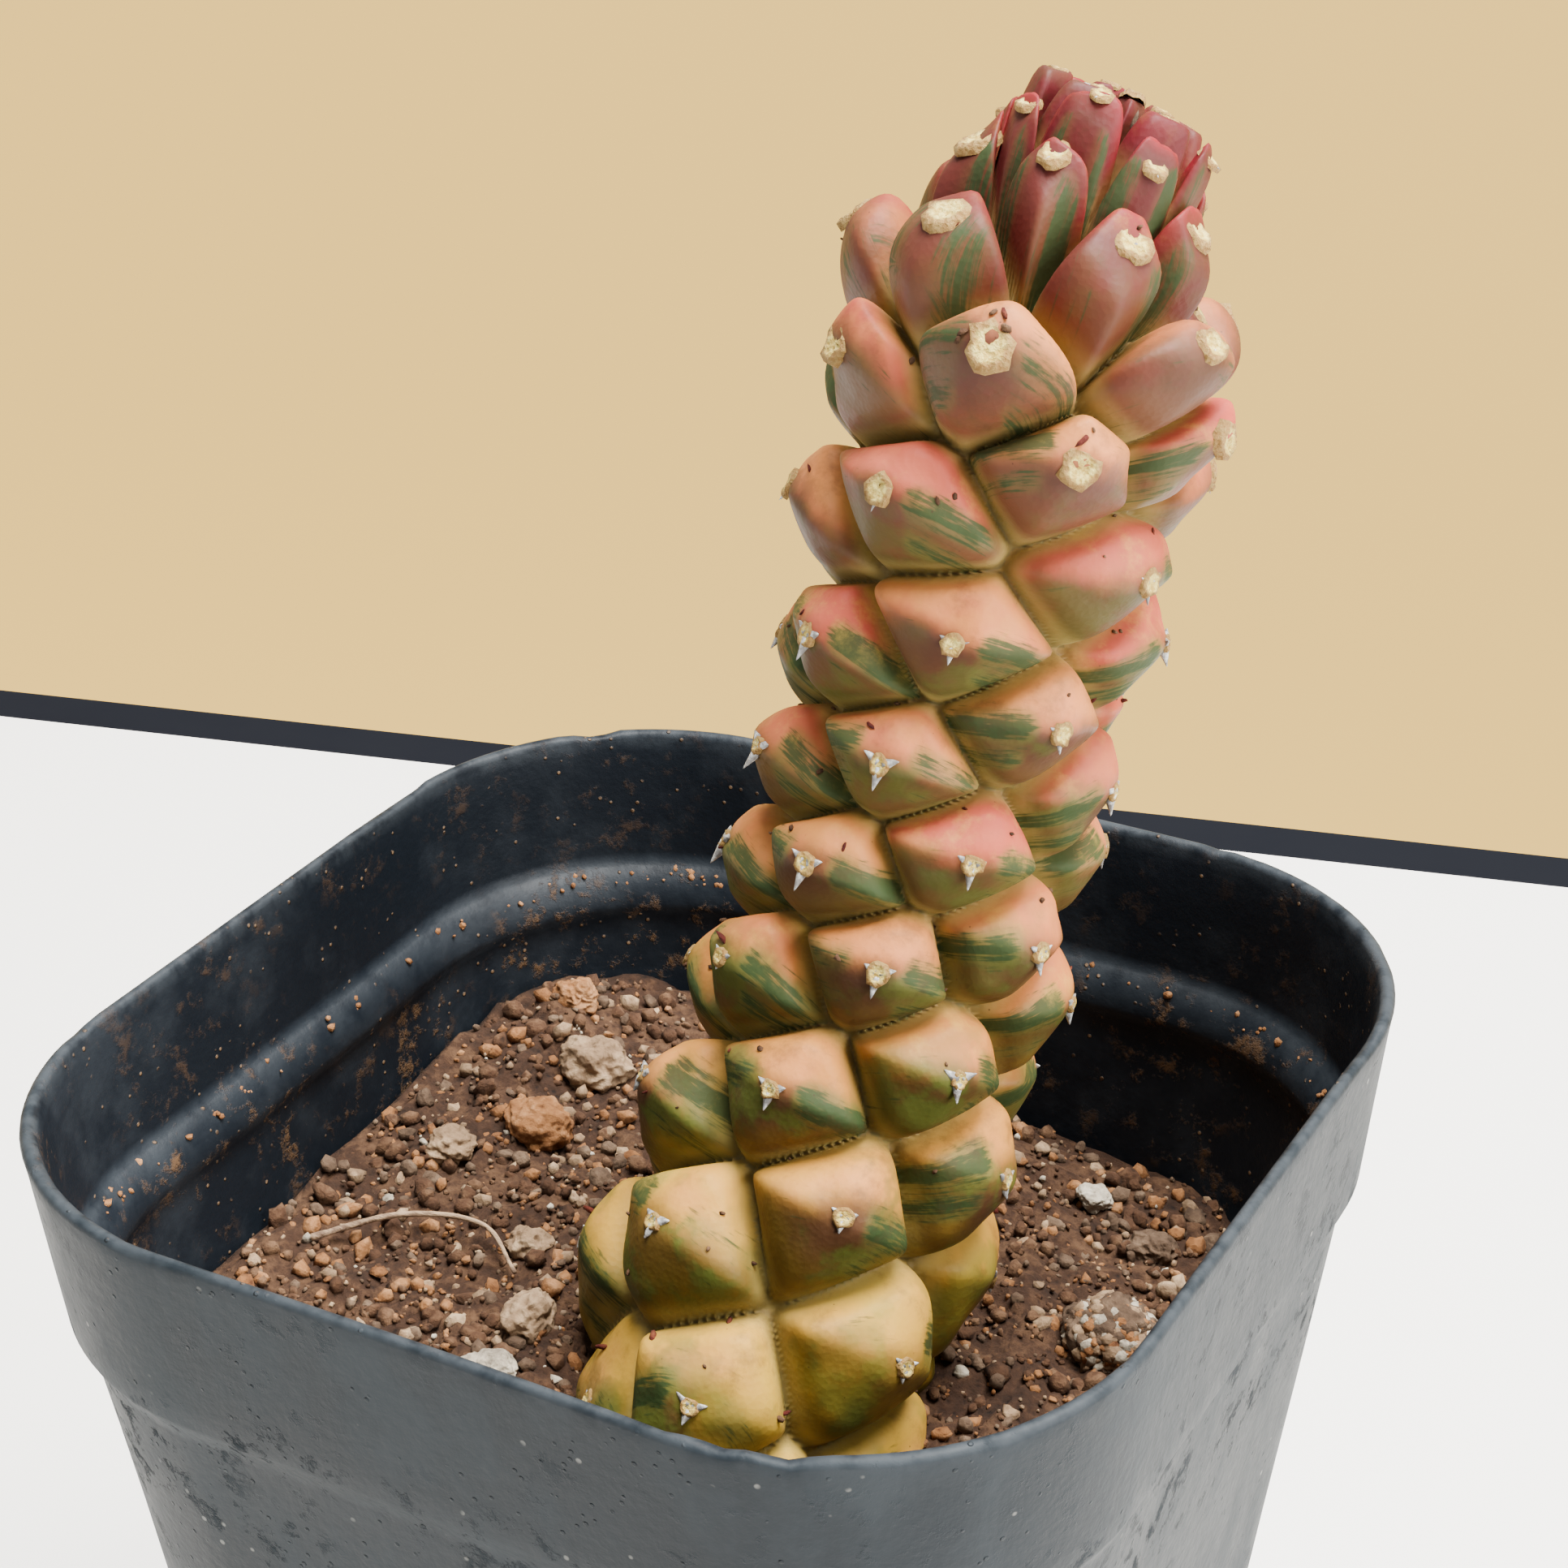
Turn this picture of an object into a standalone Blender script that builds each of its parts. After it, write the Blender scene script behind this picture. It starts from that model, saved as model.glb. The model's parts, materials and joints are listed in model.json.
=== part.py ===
"""Potted euphorbia: a square nursery pot, its soil and stones, and one tubercled stem.

Units are metres, +Z is up, and the origin is the middle of the pot's flat underside.
"""

import math

import bmesh
import bpy
import numpy as np
from mathutils import Matrix, Vector, noise

MM = 0.001

# --- Pot: driving dimensions -------------------------------------------------
POT_HEIGHT = 80 * MM
RIM_HALF = 35 * MM
COLLAR_FOOT_HALF = RIM_HALF - 1.15 * MM
COLLAR_DEPTH = 12.25 * MM
STEP_DEPTH = 13.9 * MM
BODY_TOP_HALF = RIM_HALF - 2.0 * MM
BASE_HALF = RIM_HALF - 10.6 * MM
CORNER_SHARE = 0.531
WALL = 0.8 * MM
RIM_BEAD = 0.35 * MM
FLOOR_THICK = 1.2 * MM
FOOT_ROUND = 1.5 * MM
LEDGE_DEPTH = 9.9 * MM
LEDGE_WIDTH = 1.1 * MM
LEDGE_FALL = 1.2 * MM
LEDGE_FOOT_DEPTH = 12.8 * MM
DRAIN_RADIUS = 4.0 * MM
DRAIN_OFFSET = 14.0 * MM
CORNER_POINTS = 8

# --- Soil --------------------------------------------------------------------
CLEARANCE = 0.3 * MM
SOCKET_CLEARANCE = 0.65 * MM
SOIL_DEPTH = 19.8 * MM
SOIL_FALL_X = 0.13
SOIL_FALL_Y = 0.07
SOIL_BANK = 2.6 * MM
SOIL_BUMP = 0.8 * MM
SOIL_RINGS = 7

# --- Stem: a curved axis, and tubercles on a spiral lattice around it ---------
RIM_Z = POT_HEIGHT
AXIS = (
    Vector((4.0, -7.6, -21.4)) * MM,
    Vector((9.6, 13.8, 10.5)) * MM,
    Vector((11.0, 6.5, 33.3)) * MM,
    Vector((17.1, 15.8, 54.7)) * MM,
)
FIRST_NODE = -46
CROWN_PITCH = 0.0075
SOIL_NODE = -36
TOP_NODE = 42
LAST_NODE = 50
DIVERGENCE = math.radians(137.442)
START_ANGLE = math.radians(276.52)
# Each row is (share of the stem's length, value there); values between follow a smooth curve.
NODE_HEIGHT = ((0.0, 0.0), (0.25, 0.283), (0.5, 0.534), (0.75, 0.852), (1.0, 1.0))
EXTRA_TWIST = (
    (0.0, 0.0),
    (0.15, math.radians(0.9)),
    (0.45, math.radians(0.6)),
    (0.6, math.radians(-2.3)),
    (0.75, math.radians(-3.3)),
    (0.85, math.radians(-1.8)),
    (0.93, math.radians(1.4)),
    (1.0, math.radians(-4.8)),
)
AREOLE_RADIUS = (
    (-0.25, 5.5 * MM),
    (-0.1, 9.5 * MM),
    (0.0, 12.25 * MM),
    (0.25, 12.06 * MM),
    (0.5, 11.34 * MM),
    (0.75, 12.24 * MM),
    (0.86, 12.11 * MM),
    (0.93, 7.0 * MM),
    (1.0, 4.9 * MM),
    (1.06, 1.0 * MM),
)
TUBERCLE_RISE = (
    (-0.25, 0.6 * MM),
    (-0.1, 2.2 * MM),
    (0.0, 4.0 * MM),
    (0.5, 4.6 * MM),
    (0.8, 5.6 * MM),
    (0.93, 7.0 * MM),
    (1.06, 5.0 * MM),
)
TUBERCLE_TILT = (
    (-0.25, 0.0),
    (0.0, math.radians(8)),
    (0.5, math.radians(18)),
    (0.8, math.radians(34)),
    (0.9, math.radians(60)),
    (0.96, math.radians(82)),
    (1.06, math.radians(90)),
)
CROWN_SINK = 0.1
# Tubercles that grew off the spiral: number, then degrees round the stem and length up it.
ASKEW = {
    -34: (-1.0, -1.3 * MM),
    -26: (-1.1, 0.6 * MM),
    -19: (4.8, 0.1 * MM),
    -10: (-1.4, -0.7 * MM),
    -8: (3.0, 0.1 * MM),
    -3: (2.5, 0.0),
    -2: (4.5, 0.6 * MM),
    3: (-0.6, 0.6 * MM),
    6: (0.6, 0.5 * MM),
    8: (-4.2, -0.8 * MM),
    16: (-1.3, 0.6 * MM),
    18: (2.1, -0.3 * MM),
    19: (-4.9, -1.1 * MM),
    24: (7.2, -0.3 * MM),
    26: (-2.0, 0.9 * MM),
    29: (10.5, 0.2 * MM),
    31: (-0.4, 1.4 * MM),
    37: (-0.3, 1.0 * MM),
    39: (1.1, -1.2 * MM),
    42: (-6.6, -1.5 * MM),
}
# Tubercles that stayed small: number, then their share of the usual rise.
STUNTED = {-37: 0.25, 27: 0.55}
# Tubercles are this much wider than tall, up to this share of the stem.
FLATNESS = 1.36
FLAT_UP_TO = 0.82
STEM_COLUMNS = 150
STEM_ROWS = 190
SKIN_VOXEL = 0.55 * MM
SKIN_TRIANGLES = 6400
SOCKET_VOXEL = 0.9 * MM
SOCKET_TRIANGLES = 5000

# --- Loose pieces on the soil: (name, x, y, length, width, height, turn, colour) ----
STONES = (
    ("stone_pumice", -20.8, 17.5, 5.4, 4.2, 3.6, 20, (0.52, 0.38, 0.24)),
    ("stone_clay", -20.8, 10.0, 5.2, 4.0, 3.4, -25, (0.55, 0.26, 0.10)),
    ("stone_tan", -24.4, 4.7, 3.6, 3.0, 2.4, 40, (0.45, 0.29, 0.16)),
    ("stone_back", -25.6, 22.4, 3.4, 2.6, 2.4, 10, (0.52, 0.22, 0.08)),
    ("stone_pink", -13.9, -2.0, 3.2, 2.6, 2.2, 30, (0.56, 0.36, 0.26)),
    ("stone_cream", -9.4, -8.8, 4.2, 2.6, 3.0, 65, (0.62, 0.52, 0.38)),
    ("stone_perlite", -8.6, -14.4, 3.6, 3.0, 2.4, 15, (0.72, 0.68, 0.62)),
    ("stone_front", 21.4, -9.0, 3.8, 2.8, 2.4, 5, (0.66, 0.55, 0.40)),
    ("stone_white", 13.4, 25.4, 2.4, 2.0, 1.8, 0, (0.70, 0.60, 0.54)),
    ("stone_grey", 18.9, 22.0, 3.6, 2.8, 2.4, -20, (0.30, 0.24, 0.19)),
    ("stone_brown", 24.0, 16.4, 3.0, 2.4, 2.2, 35, (0.34, 0.20, 0.12)),
    ("stone_pale", 24.2, 3.0, 2.6, 2.2, 1.8, 50, (0.72, 0.66, 0.56)),
    ("grit_clod", 21.0, 10.4, 7.0, 5.4, 4.4, -30, (0.36, 0.22, 0.13)),
)
STONE_SUNK = 0.3
TWIG_RADIUS = 0.4 * MM
TWIG_X = (-27.0, -22.4, -17.0, -12.6)
TWIG_Y = (-7.6, -3.8, -2.6, -5.6)
TWIG_LIFT = (0.5, 1.3, 1.2, 0.5)
TWIG_POINTS = 16
TWIG_SIDES = 8


# --- Small helpers -------------------------------------------------------------
def clear_scene():
    for obj in list(bpy.data.objects):
        bpy.data.objects.remove(obj, do_unlink=True)


def material(name, colour, roughness, metallic=0.0):
    """A Principled material of one colour."""
    made = bpy.data.materials.new(name)
    made.use_nodes = True
    shader = made.node_tree.nodes["Principled BSDF"]
    shader.inputs["Base Color"].default_value = (*colour, 1.0)
    shader.inputs["Roughness"].default_value = roughness
    shader.inputs["Metallic"].default_value = metallic
    return made


def object_of(name, mesh_data, finish):
    """A scene object from a bmesh, shaded smooth below 40 degrees."""
    bmesh.ops.recalc_face_normals(mesh_data, faces=mesh_data.faces)
    mesh = bpy.data.meshes.new(name)
    mesh_data.to_mesh(mesh)
    mesh_data.free()
    mesh.shade_smooth()
    mesh.set_sharp_from_angle(angle=math.radians(40))
    if finish:
        mesh.materials.append(finish)
    obj = bpy.data.objects.new(name, mesh)
    bpy.context.scene.collection.objects.link(obj)
    return obj


def smooth_value(knots, where):
    """A Catmull-Rom curve through (place, value) knots, held flat past both ends."""
    places = np.array([knot[0] for knot in knots])
    values = np.array([knot[1] for knot in knots])
    slopes = np.gradient(values, places)
    where = np.clip(where, places[0], places[-1])
    index = np.clip(np.searchsorted(places, where) - 1, 0, len(places) - 2)
    span = places[index + 1] - places[index]
    t = (where - places[index]) / span
    h00 = 2 * t**3 - 3 * t**2 + 1
    h10 = t**3 - 2 * t**2 + t
    h01 = 3 * t**2 - 2 * t**3
    h11 = t**3 - t**2
    start = h00 * values[index] + h10 * span * slopes[index]
    end = h01 * values[index + 1] + h11 * span * slopes[index + 1]
    return start + end


def ramp(value, low, high):
    """0 up to low, 1 from high, straight between."""
    return min(max((value - low) / (high - low), 0), 1)


def cutter(obj):
    """Marks an object as a guide that only cuts others."""
    obj.hide_render = True
    obj.display_type = "WIRE"
    return obj


def cut(obj, tool):
    """A live EXACT difference."""
    modifier = obj.modifiers.new(tool.name, "BOOLEAN")
    modifier.operation = "DIFFERENCE"
    modifier.solver = "EXACT"
    modifier.object = tool


# --- Pot and soil cross-sections --------------------------------------------------
def rounded_square(half, z, share=CORNER_SHARE):
    """Points of a rounded square of this half width, counter-clockwise from +X."""
    radius = half * share
    middle = half - radius
    points = []
    for corner in range(4):
        turn = corner * math.pi / 2
        for step in range(CORNER_POINTS + 1):
            angle = turn + step * math.pi / 2 / CORNER_POINTS
            cx = middle * math.copysign(1, math.cos(turn + math.pi / 4))
            cy = middle * math.copysign(1, math.sin(turn + math.pi / 4))
            points.append((cx + radius * math.cos(angle), cy + radius * math.sin(angle), z))
    return points


def bridge_rings(mesh_data, rings):
    """Quads between each ring of vertices and the next."""
    for lower, upper in zip(rings, rings[1:]):
        count = len(lower)
        for i in range(count):
            j = (i + 1) % count
            mesh_data.faces.new((lower[i], lower[j], upper[j], upper[i]))


def body_half(depth):
    """Outer half width of the tapered body at a depth below the rim."""
    share = (depth - STEP_DEPTH) / (POT_HEIGHT - STEP_DEPTH)
    return BODY_TOP_HALF + share * (BASE_HALF - BODY_TOP_HALF)


def collar_half(depth):
    """Outer half width of the collar at a depth below the rim."""
    return RIM_HALF + depth / COLLAR_DEPTH * (COLLAR_FOOT_HALF - RIM_HALF)


def inner_half(depth):
    """Half width of the pot's inside wall below its ledge."""
    return body_half(max(depth, STEP_DEPTH)) - WALL


def make_pot():
    profile = [
        (BASE_HALF - FOOT_ROUND, 0.0),
        (BASE_HALF - 0.3 * FOOT_ROUND, 0.3 * FOOT_ROUND),
        (body_half(POT_HEIGHT - FOOT_ROUND), FOOT_ROUND),
        (BODY_TOP_HALF, POT_HEIGHT - STEP_DEPTH),
        (COLLAR_FOOT_HALF, POT_HEIGHT - COLLAR_DEPTH),
        (collar_half(2.0 * MM), POT_HEIGHT - 2.0 * MM),
        (RIM_HALF, POT_HEIGHT - 1.1 * MM),
        (RIM_HALF, POT_HEIGHT - 0.3 * MM),
        (RIM_HALF - 0.3 * MM, POT_HEIGHT),
        (RIM_HALF - WALL, POT_HEIGHT),
        (RIM_HALF - WALL - RIM_BEAD, POT_HEIGHT - RIM_BEAD),
        (collar_half(LEDGE_DEPTH) - WALL, POT_HEIGHT - LEDGE_DEPTH),
        (collar_half(LEDGE_DEPTH) - WALL - LEDGE_WIDTH, POT_HEIGHT - LEDGE_DEPTH - LEDGE_FALL),
        (inner_half(LEDGE_FOOT_DEPTH) - 0.2 * MM, POT_HEIGHT - LEDGE_FOOT_DEPTH),
        (inner_half(STEP_DEPTH + 1 * MM), POT_HEIGHT - STEP_DEPTH - 1 * MM),
        (inner_half(POT_HEIGHT - FLOOR_THICK), FLOOR_THICK),
    ]
    shape = bmesh.new()
    rings = []
    for half, z in profile:
        rings.append([shape.verts.new(point) for point in rounded_square(half, z)])
    bridge_rings(shape, rings)
    shape.faces.new(rings[0])
    shape.faces.new(rings[-1])
    pot = object_of("pot", shape, material("black_plastic", (0.035, 0.042, 0.05), 0.45))
    for corner in range(4):
        angle = math.radians(45 + 90 * corner)
        bpy.ops.mesh.primitive_cylinder_add(
            vertices=20,
            radius=DRAIN_RADIUS,
            depth=6 * FLOOR_THICK,
            location=(DRAIN_OFFSET * math.cos(angle), DRAIN_OFFSET * math.sin(angle), 0),
        )
        drill = cutter(bpy.context.object)
        drill.name = f"drain_cutter_{corner}"
        cut(pot, drill)
    return pot


# --- Soil --------------------------------------------------------------------------
def soil_height(x, y):
    """Height of the soil's surface: it falls towards +X and +Y, and is banked up at -X +Y."""
    right = min(max(x + 6 * MM, 0), 32 * MM)
    back = max(y - 4 * MM, 0)
    fall = SOIL_FALL_X * right + SOIL_FALL_Y * back * min(right / (12 * MM), 1)
    bank = SOIL_BANK * ramp(-x, 14 * MM, 28 * MM) * ramp(y, 4 * MM, 22 * MM)
    bump = SOIL_BUMP * noise.noise(Vector((x, y, 0.004)) / (9 * MM))
    return RIM_Z - SOIL_DEPTH - fall + bank + bump


def make_soil():
    shape = bmesh.new()
    floor_z = FLOOR_THICK + CLEARANCE
    wall_rings = []
    for share in (0.0, 0.45, 0.8, 1.0):
        ring = []
        for x, y, _ in rounded_square(1.0, 0.0):
            top_half = inner_half(SOIL_DEPTH) - CLEARANCE
            top = soil_height(x * top_half, y * top_half)
            z = floor_z + share * (top - floor_z)
            half = inner_half(POT_HEIGHT - z) - CLEARANCE
            ring.append(shape.verts.new((x * half, y * half, z)))
        wall_rings.append(ring)
    rings = list(wall_rings)
    for step in range(SOIL_RINGS - 1, 0, -1):
        ring = []
        for vertex in wall_rings[-1]:
            x = vertex.co.x * step / SOIL_RINGS
            y = vertex.co.y * step / SOIL_RINGS
            ring.append(shape.verts.new((x, y, soil_height(x, y))))
        rings.append(ring)
    bridge_rings(shape, rings)
    shape.faces.new(rings[0])
    shape.faces.new(rings[-1])
    return object_of("soil", shape, material("potting_soil", (0.16, 0.09, 0.05), 0.95))


# --- Stem ---------------------------------------------------------------------------
def axis_frames(share):
    """Points, tangents and two cross directions of the stem's axis at shares of its length.

    Below share 0 the axis runs on straight, which is the buried base, and above 1 too.
    """
    a, b, c, d = (np.array(point) for point in AXIS)
    t = np.clip(share, 0, 1)[:, None]
    point = (1 - t) ** 3 * a + 3 * (1 - t) ** 2 * t * b + 3 * (1 - t) * t**2 * c + t**3 * d
    slope = 3 * ((1 - t) ** 2 * (b - a) + 2 * (1 - t) * t * (c - b) + t**2 * (d - c))
    point = point + (share[:, None] - t) * slope + np.array((0, 0, RIM_Z))
    tangent = slope / np.linalg.norm(slope, axis=1, keepdims=True)
    first = np.array((1.0, 0, 0)) - tangent[:, :1] * tangent
    first = first / np.linalg.norm(first, axis=1, keepdims=True)
    return point, tangent, first, np.cross(tangent, first)


def stem_length():
    points = axis_frames(np.linspace(0, 1, 60))[0]
    return float(np.linalg.norm(np.diff(points, axis=0), axis=1).sum())


def base_profile(share, length):
    """Radius and height of the groove surface that the tubercles stand on."""
    rise = smooth_value(TUBERCLE_RISE, share)
    tilt = smooth_value(TUBERCLE_TILT, share)
    radius = smooth_value(AREOLE_RADIUS, share) - rise * np.cos(tilt)
    height = np.minimum(share, 1 + CROWN_SINK * (share - 1)) * length - rise * np.sin(tilt)
    return np.maximum(radius, 0.0), height


def on_circle(radius, height, angle):
    return np.stack((radius * np.cos(angle), radius * np.sin(angle), height), axis=-1)


def flattened(points, length):
    """Stretches heights on the stem's straight part, so that cells there come out wide and low."""
    turn = FLAT_UP_TO * length
    height = points[:, 2]
    stretched = FLATNESS * np.minimum(height, turn) + np.maximum(height - turn, 0)
    return np.column_stack((points[:, :2], stretched))


def tubercle_share(points, nodes):
    """How far each point is up its own tubercle: 0 in the groove between two, 1 at the middle."""
    gaps = ((points[:, None] - nodes[None]) ** 2).sum(axis=2)
    nearest = gaps.argmin(axis=1)
    own = nodes[nearest]
    apart = ((own[:, None] - nodes[None]) ** 2).sum(axis=2)
    own_gap = gaps[np.arange(len(points)), nearest]
    share = (gaps - own_gap[:, None]) / np.maximum(apart, 1e-12)
    share[np.arange(len(points)), nearest] = 9.0
    softness = 0.06
    soft = -softness * np.log(np.exp(-share / softness).sum(axis=1))
    return np.clip(soft / (1 - softness), 0, 1), nearest


def tubercle_profile(share):
    """A plump pillow at the groove, turning into a pyramid above."""
    pillow = 1 - (1 - np.minimum(share / 0.34, 1)) ** 2.1
    return 0.42 * pillow + 0.58 * share


def lattice_nodes(length):
    """Middles of the tubercles, in the space where the stem's axis is straight."""
    ks = np.arange(FIRST_NODE, LAST_NODE + 1)
    share = smooth_value(NODE_HEIGHT, (ks - SOIL_NODE) / (TOP_NODE - SOIL_NODE))
    low_pitch = NODE_HEIGHT[1][1] * 4 / (TOP_NODE - SOIL_NODE)
    share = np.where(ks < SOIL_NODE, (ks - SOIL_NODE) * low_pitch, share)
    share = np.where(ks > TOP_NODE, 1 + (ks - TOP_NODE) * CROWN_PITCH, share)
    angle = START_ANGLE + DIVERGENCE * ks + smooth_value(EXTRA_TWIST, share)
    radius, height = base_profile(share, length)
    radius = radius + 0.5 * smooth_value(TUBERCLE_RISE, share) * np.cos(smooth_value(TUBERCLE_TILT, share))
    for node, (degrees, rise) in ASKEW.items():
        angle[node - FIRST_NODE] += math.radians(degrees)
        height[node - FIRST_NODE] += rise
    return on_circle(radius, height, angle)


def stem_mesh():
    """The stem's surface on a fine grid round its axis."""
    length = stem_length()
    nodes = lattice_nodes(length)
    shares = np.linspace(-0.25, 1.06, STEM_ROWS)
    angles = np.arange(STEM_COLUMNS) * 2 * math.pi / STEM_COLUMNS
    share, angle = (grid.ravel() for grid in np.meshgrid(shares, angles, indexing="ij"))
    rise = smooth_value(TUBERCLE_RISE, share)
    tilt = smooth_value(TUBERCLE_TILT, share)
    radius, height = base_profile(share, length)
    middle = on_circle(radius + 0.5 * rise * np.cos(tilt), height, angle)
    own_share, own = tubercle_share(flattened(middle, length), flattened(nodes, length))
    vigour = np.ones(len(nodes))
    for node, kept in STUNTED.items():
        vigour[node - FIRST_NODE] = kept
    lift = rise * vigour[own] * tubercle_profile(own_share)
    radius = radius + lift * np.cos(tilt)
    height = height + lift * np.sin(tilt)
    place, _, first, second = axis_frames(height / length)
    around = np.cos(angle)[:, None] * first + np.sin(angle)[:, None] * second
    surface = place + radius[:, None] * around

    shape = bmesh.new()
    grid = [shape.verts.new(point) for point in surface]
    rows = [grid[i : i + STEM_COLUMNS] for i in range(0, len(grid), STEM_COLUMNS)]
    bridge_rings(shape, rows)
    ends = axis_frames(np.array((-0.27, height[-1] / length)))[0]
    for point, row in zip(ends, (rows[0], rows[-1])):
        pole = shape.verts.new(point)
        for i, vertex in enumerate(row):
            shape.faces.new((vertex, row[(i + 1) % STEM_COLUMNS], pole))
    bmesh.ops.recalc_face_normals(shape, faces=shape.faces)
    return shape


def even_skin(obj, voxel, triangles):
    """Remeshes a body evenly, softens it and thins it to about this many triangles."""
    remesh = obj.modifiers.new("even", "REMESH")
    remesh.mode = "VOXEL"
    remesh.voxel_size = voxel
    remesh.use_smooth_shade = True
    soften = obj.modifiers.new("soften", "SMOOTH")
    soften.factor = 0.5
    soften.iterations = 2
    graph = bpy.context.evaluated_depsgraph_get()
    count = len(obj.evaluated_get(graph).data.polygons) * 2
    thin = obj.modifiers.new("thin", "DECIMATE")
    thin.ratio = min(triangles / count, 1.0)
    thin.use_collapse_triangulate = True


def grown(obj, name, extra):
    """A cutter: the finished body, pushed out along its normals by extra."""
    graph = bpy.context.evaluated_depsgraph_get()
    mesh = bpy.data.meshes.new_from_object(obj.evaluated_get(graph))
    mesh.name = name
    shape = bmesh.new()
    shape.from_mesh(mesh)
    shape.normal_update()
    for vertex in shape.verts:
        vertex.co += vertex.normal * extra
    shape.to_mesh(mesh)
    shape.free()
    made = bpy.data.objects.new(name, mesh)
    bpy.context.scene.collection.objects.link(made)
    return cutter(made)


def make_stem():
    """The stem, and the cutter of its socket in the soil."""
    stem = object_of("stem", stem_mesh(), material("stem_flesh", (0.55, 0.33, 0.22), 0.5))
    even_skin(stem, SKIN_VOXEL, SKIN_TRIANGLES)
    socket = grown(stem, "stem_socket", SOCKET_CLEARANCE)
    even_skin(socket, SOCKET_VOXEL, SOCKET_TRIANGLES)
    return socket


# --- Loose pieces ----------------------------------------------------------------------
def stone_mesh(place, size, turn, seed, grow):
    """A worn lump: a sphere pulled to size, with soft hollows, turned about Z."""
    shape = bmesh.new()
    bmesh.ops.create_icosphere(shape, subdivisions=2, radius=1.0)
    spin = Matrix.Rotation(math.radians(turn), 3, "Z")
    for vertex in shape.verts:
        bump = 1 + 0.16 * noise.noise(vertex.co * 1.4 + Vector((seed * 3.7, 0, seed)))
        half = Vector(vertex.co * bump)
        half = Vector((half.x * size[0] / 2, half.y * size[1] / 2, half.z * size[2] / 2))
        vertex.co = spin @ (half + half.normalized() * grow) + place
    return shape


def make_stones(soil):
    for seed, (name, x, y, long, wide, high, turn, colour) in enumerate(STONES):
        sunk = high * MM * (0.5 - STONE_SUNK)
        place = Vector((x * MM, y * MM, soil_height(x * MM, y * MM) + sunk))
        size = Vector((long, wide, high)) * MM
        finish = material(name + "_mineral", colour, 0.9)
        object_of(name, stone_mesh(place, size, turn, seed, 0.0), finish)
        bed = cutter(object_of(name + "_bed", stone_mesh(place, size, turn, seed, CLEARANCE), None))
        cut(soil, bed)


def make_twig():
    """A dry rootlet that lies on the soil in a shallow arch."""
    share = np.linspace(0, 1, TWIG_POINTS)
    knots = np.linspace(0, 1, len(TWIG_X))
    xs = smooth_value(tuple(zip(knots, TWIG_X)), share) * MM
    ys = smooth_value(tuple(zip(knots, TWIG_Y)), share) * MM
    lifts = smooth_value(tuple(zip(knots, TWIG_LIFT)), share) * MM
    curve = bpy.data.curves.new("twig", "CURVE")
    curve.dimensions = "3D"
    curve.bevel_depth = TWIG_RADIUS
    curve.bevel_resolution = TWIG_SIDES // 4
    curve.use_fill_caps = True
    line = curve.splines.new("POLY")
    line.points.add(TWIG_POINTS - 1)
    for point, x, y, lift in zip(line.points, xs, ys, lifts):
        z = soil_height(float(x), float(y)) + TWIG_RADIUS + CLEARANCE + lift
        point.co = (x, y, z, 1)
    curve.materials.append(material("dry_root", (0.34, 0.22, 0.13), 0.8))
    twig = bpy.data.objects.new("twig", curve)
    bpy.context.scene.collection.objects.link(twig)


def main():
    clear_scene()
    make_pot()
    soil = make_soil()
    cut(soil, make_stem())
    make_stones(soil)
    make_twig()


main()
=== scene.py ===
"""Looks of the potted euphorbia: fleshy stem, leaf scars and spines, gritty soil, stones and pot.

Everything is in metres, in the frame of the solid parts: +Z up, origin under the middle of the pot.
"""

import json
import logging
import math
from dataclasses import dataclass, field
from enum import Enum
from typing import Callable, Iterable, Sequence

import bmesh
import bpy
import numpy as np
from mathutils import Matrix, Vector, noise
from mathutils.bvhtree import BVHTree
from mathutils.kdtree import KDTree

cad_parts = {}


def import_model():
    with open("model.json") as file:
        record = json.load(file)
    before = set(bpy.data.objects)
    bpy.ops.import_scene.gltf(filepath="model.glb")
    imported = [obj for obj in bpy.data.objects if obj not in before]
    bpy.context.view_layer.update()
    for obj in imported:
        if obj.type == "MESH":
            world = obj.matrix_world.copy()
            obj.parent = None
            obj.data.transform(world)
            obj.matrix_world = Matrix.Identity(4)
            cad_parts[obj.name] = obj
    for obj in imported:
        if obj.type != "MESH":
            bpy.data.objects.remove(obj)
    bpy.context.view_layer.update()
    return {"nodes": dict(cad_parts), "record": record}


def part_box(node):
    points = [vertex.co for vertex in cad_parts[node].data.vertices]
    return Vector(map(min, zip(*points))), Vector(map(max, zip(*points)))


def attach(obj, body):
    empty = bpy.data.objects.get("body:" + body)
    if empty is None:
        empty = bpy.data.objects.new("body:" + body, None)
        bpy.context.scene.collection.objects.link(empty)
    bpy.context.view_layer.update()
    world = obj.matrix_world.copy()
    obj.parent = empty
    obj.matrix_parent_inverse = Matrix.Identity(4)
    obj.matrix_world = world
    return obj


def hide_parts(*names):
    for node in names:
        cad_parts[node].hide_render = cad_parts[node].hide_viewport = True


LOG = logging.getLogger("euphorbia")
MM = 0.001
Colour = tuple[float, float, float]
Knots = tuple[tuple[float, float], ...]


class Slot(Enum):
    """Material slots that the record names."""

    POT = "pot_plastic"
    SOIL = "potting_soil"
    FLESH = "stem_flesh"
    PALE_STONE = "pale_stone"
    RUSTY_STONE = "rusty_stone"
    WHITE_STONE = "white_stone"
    DARK_STONE = "dark_stone"
    ROOT = "dry_root"


# --- Numbers and curves --------------------------------------------------------------


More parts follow.
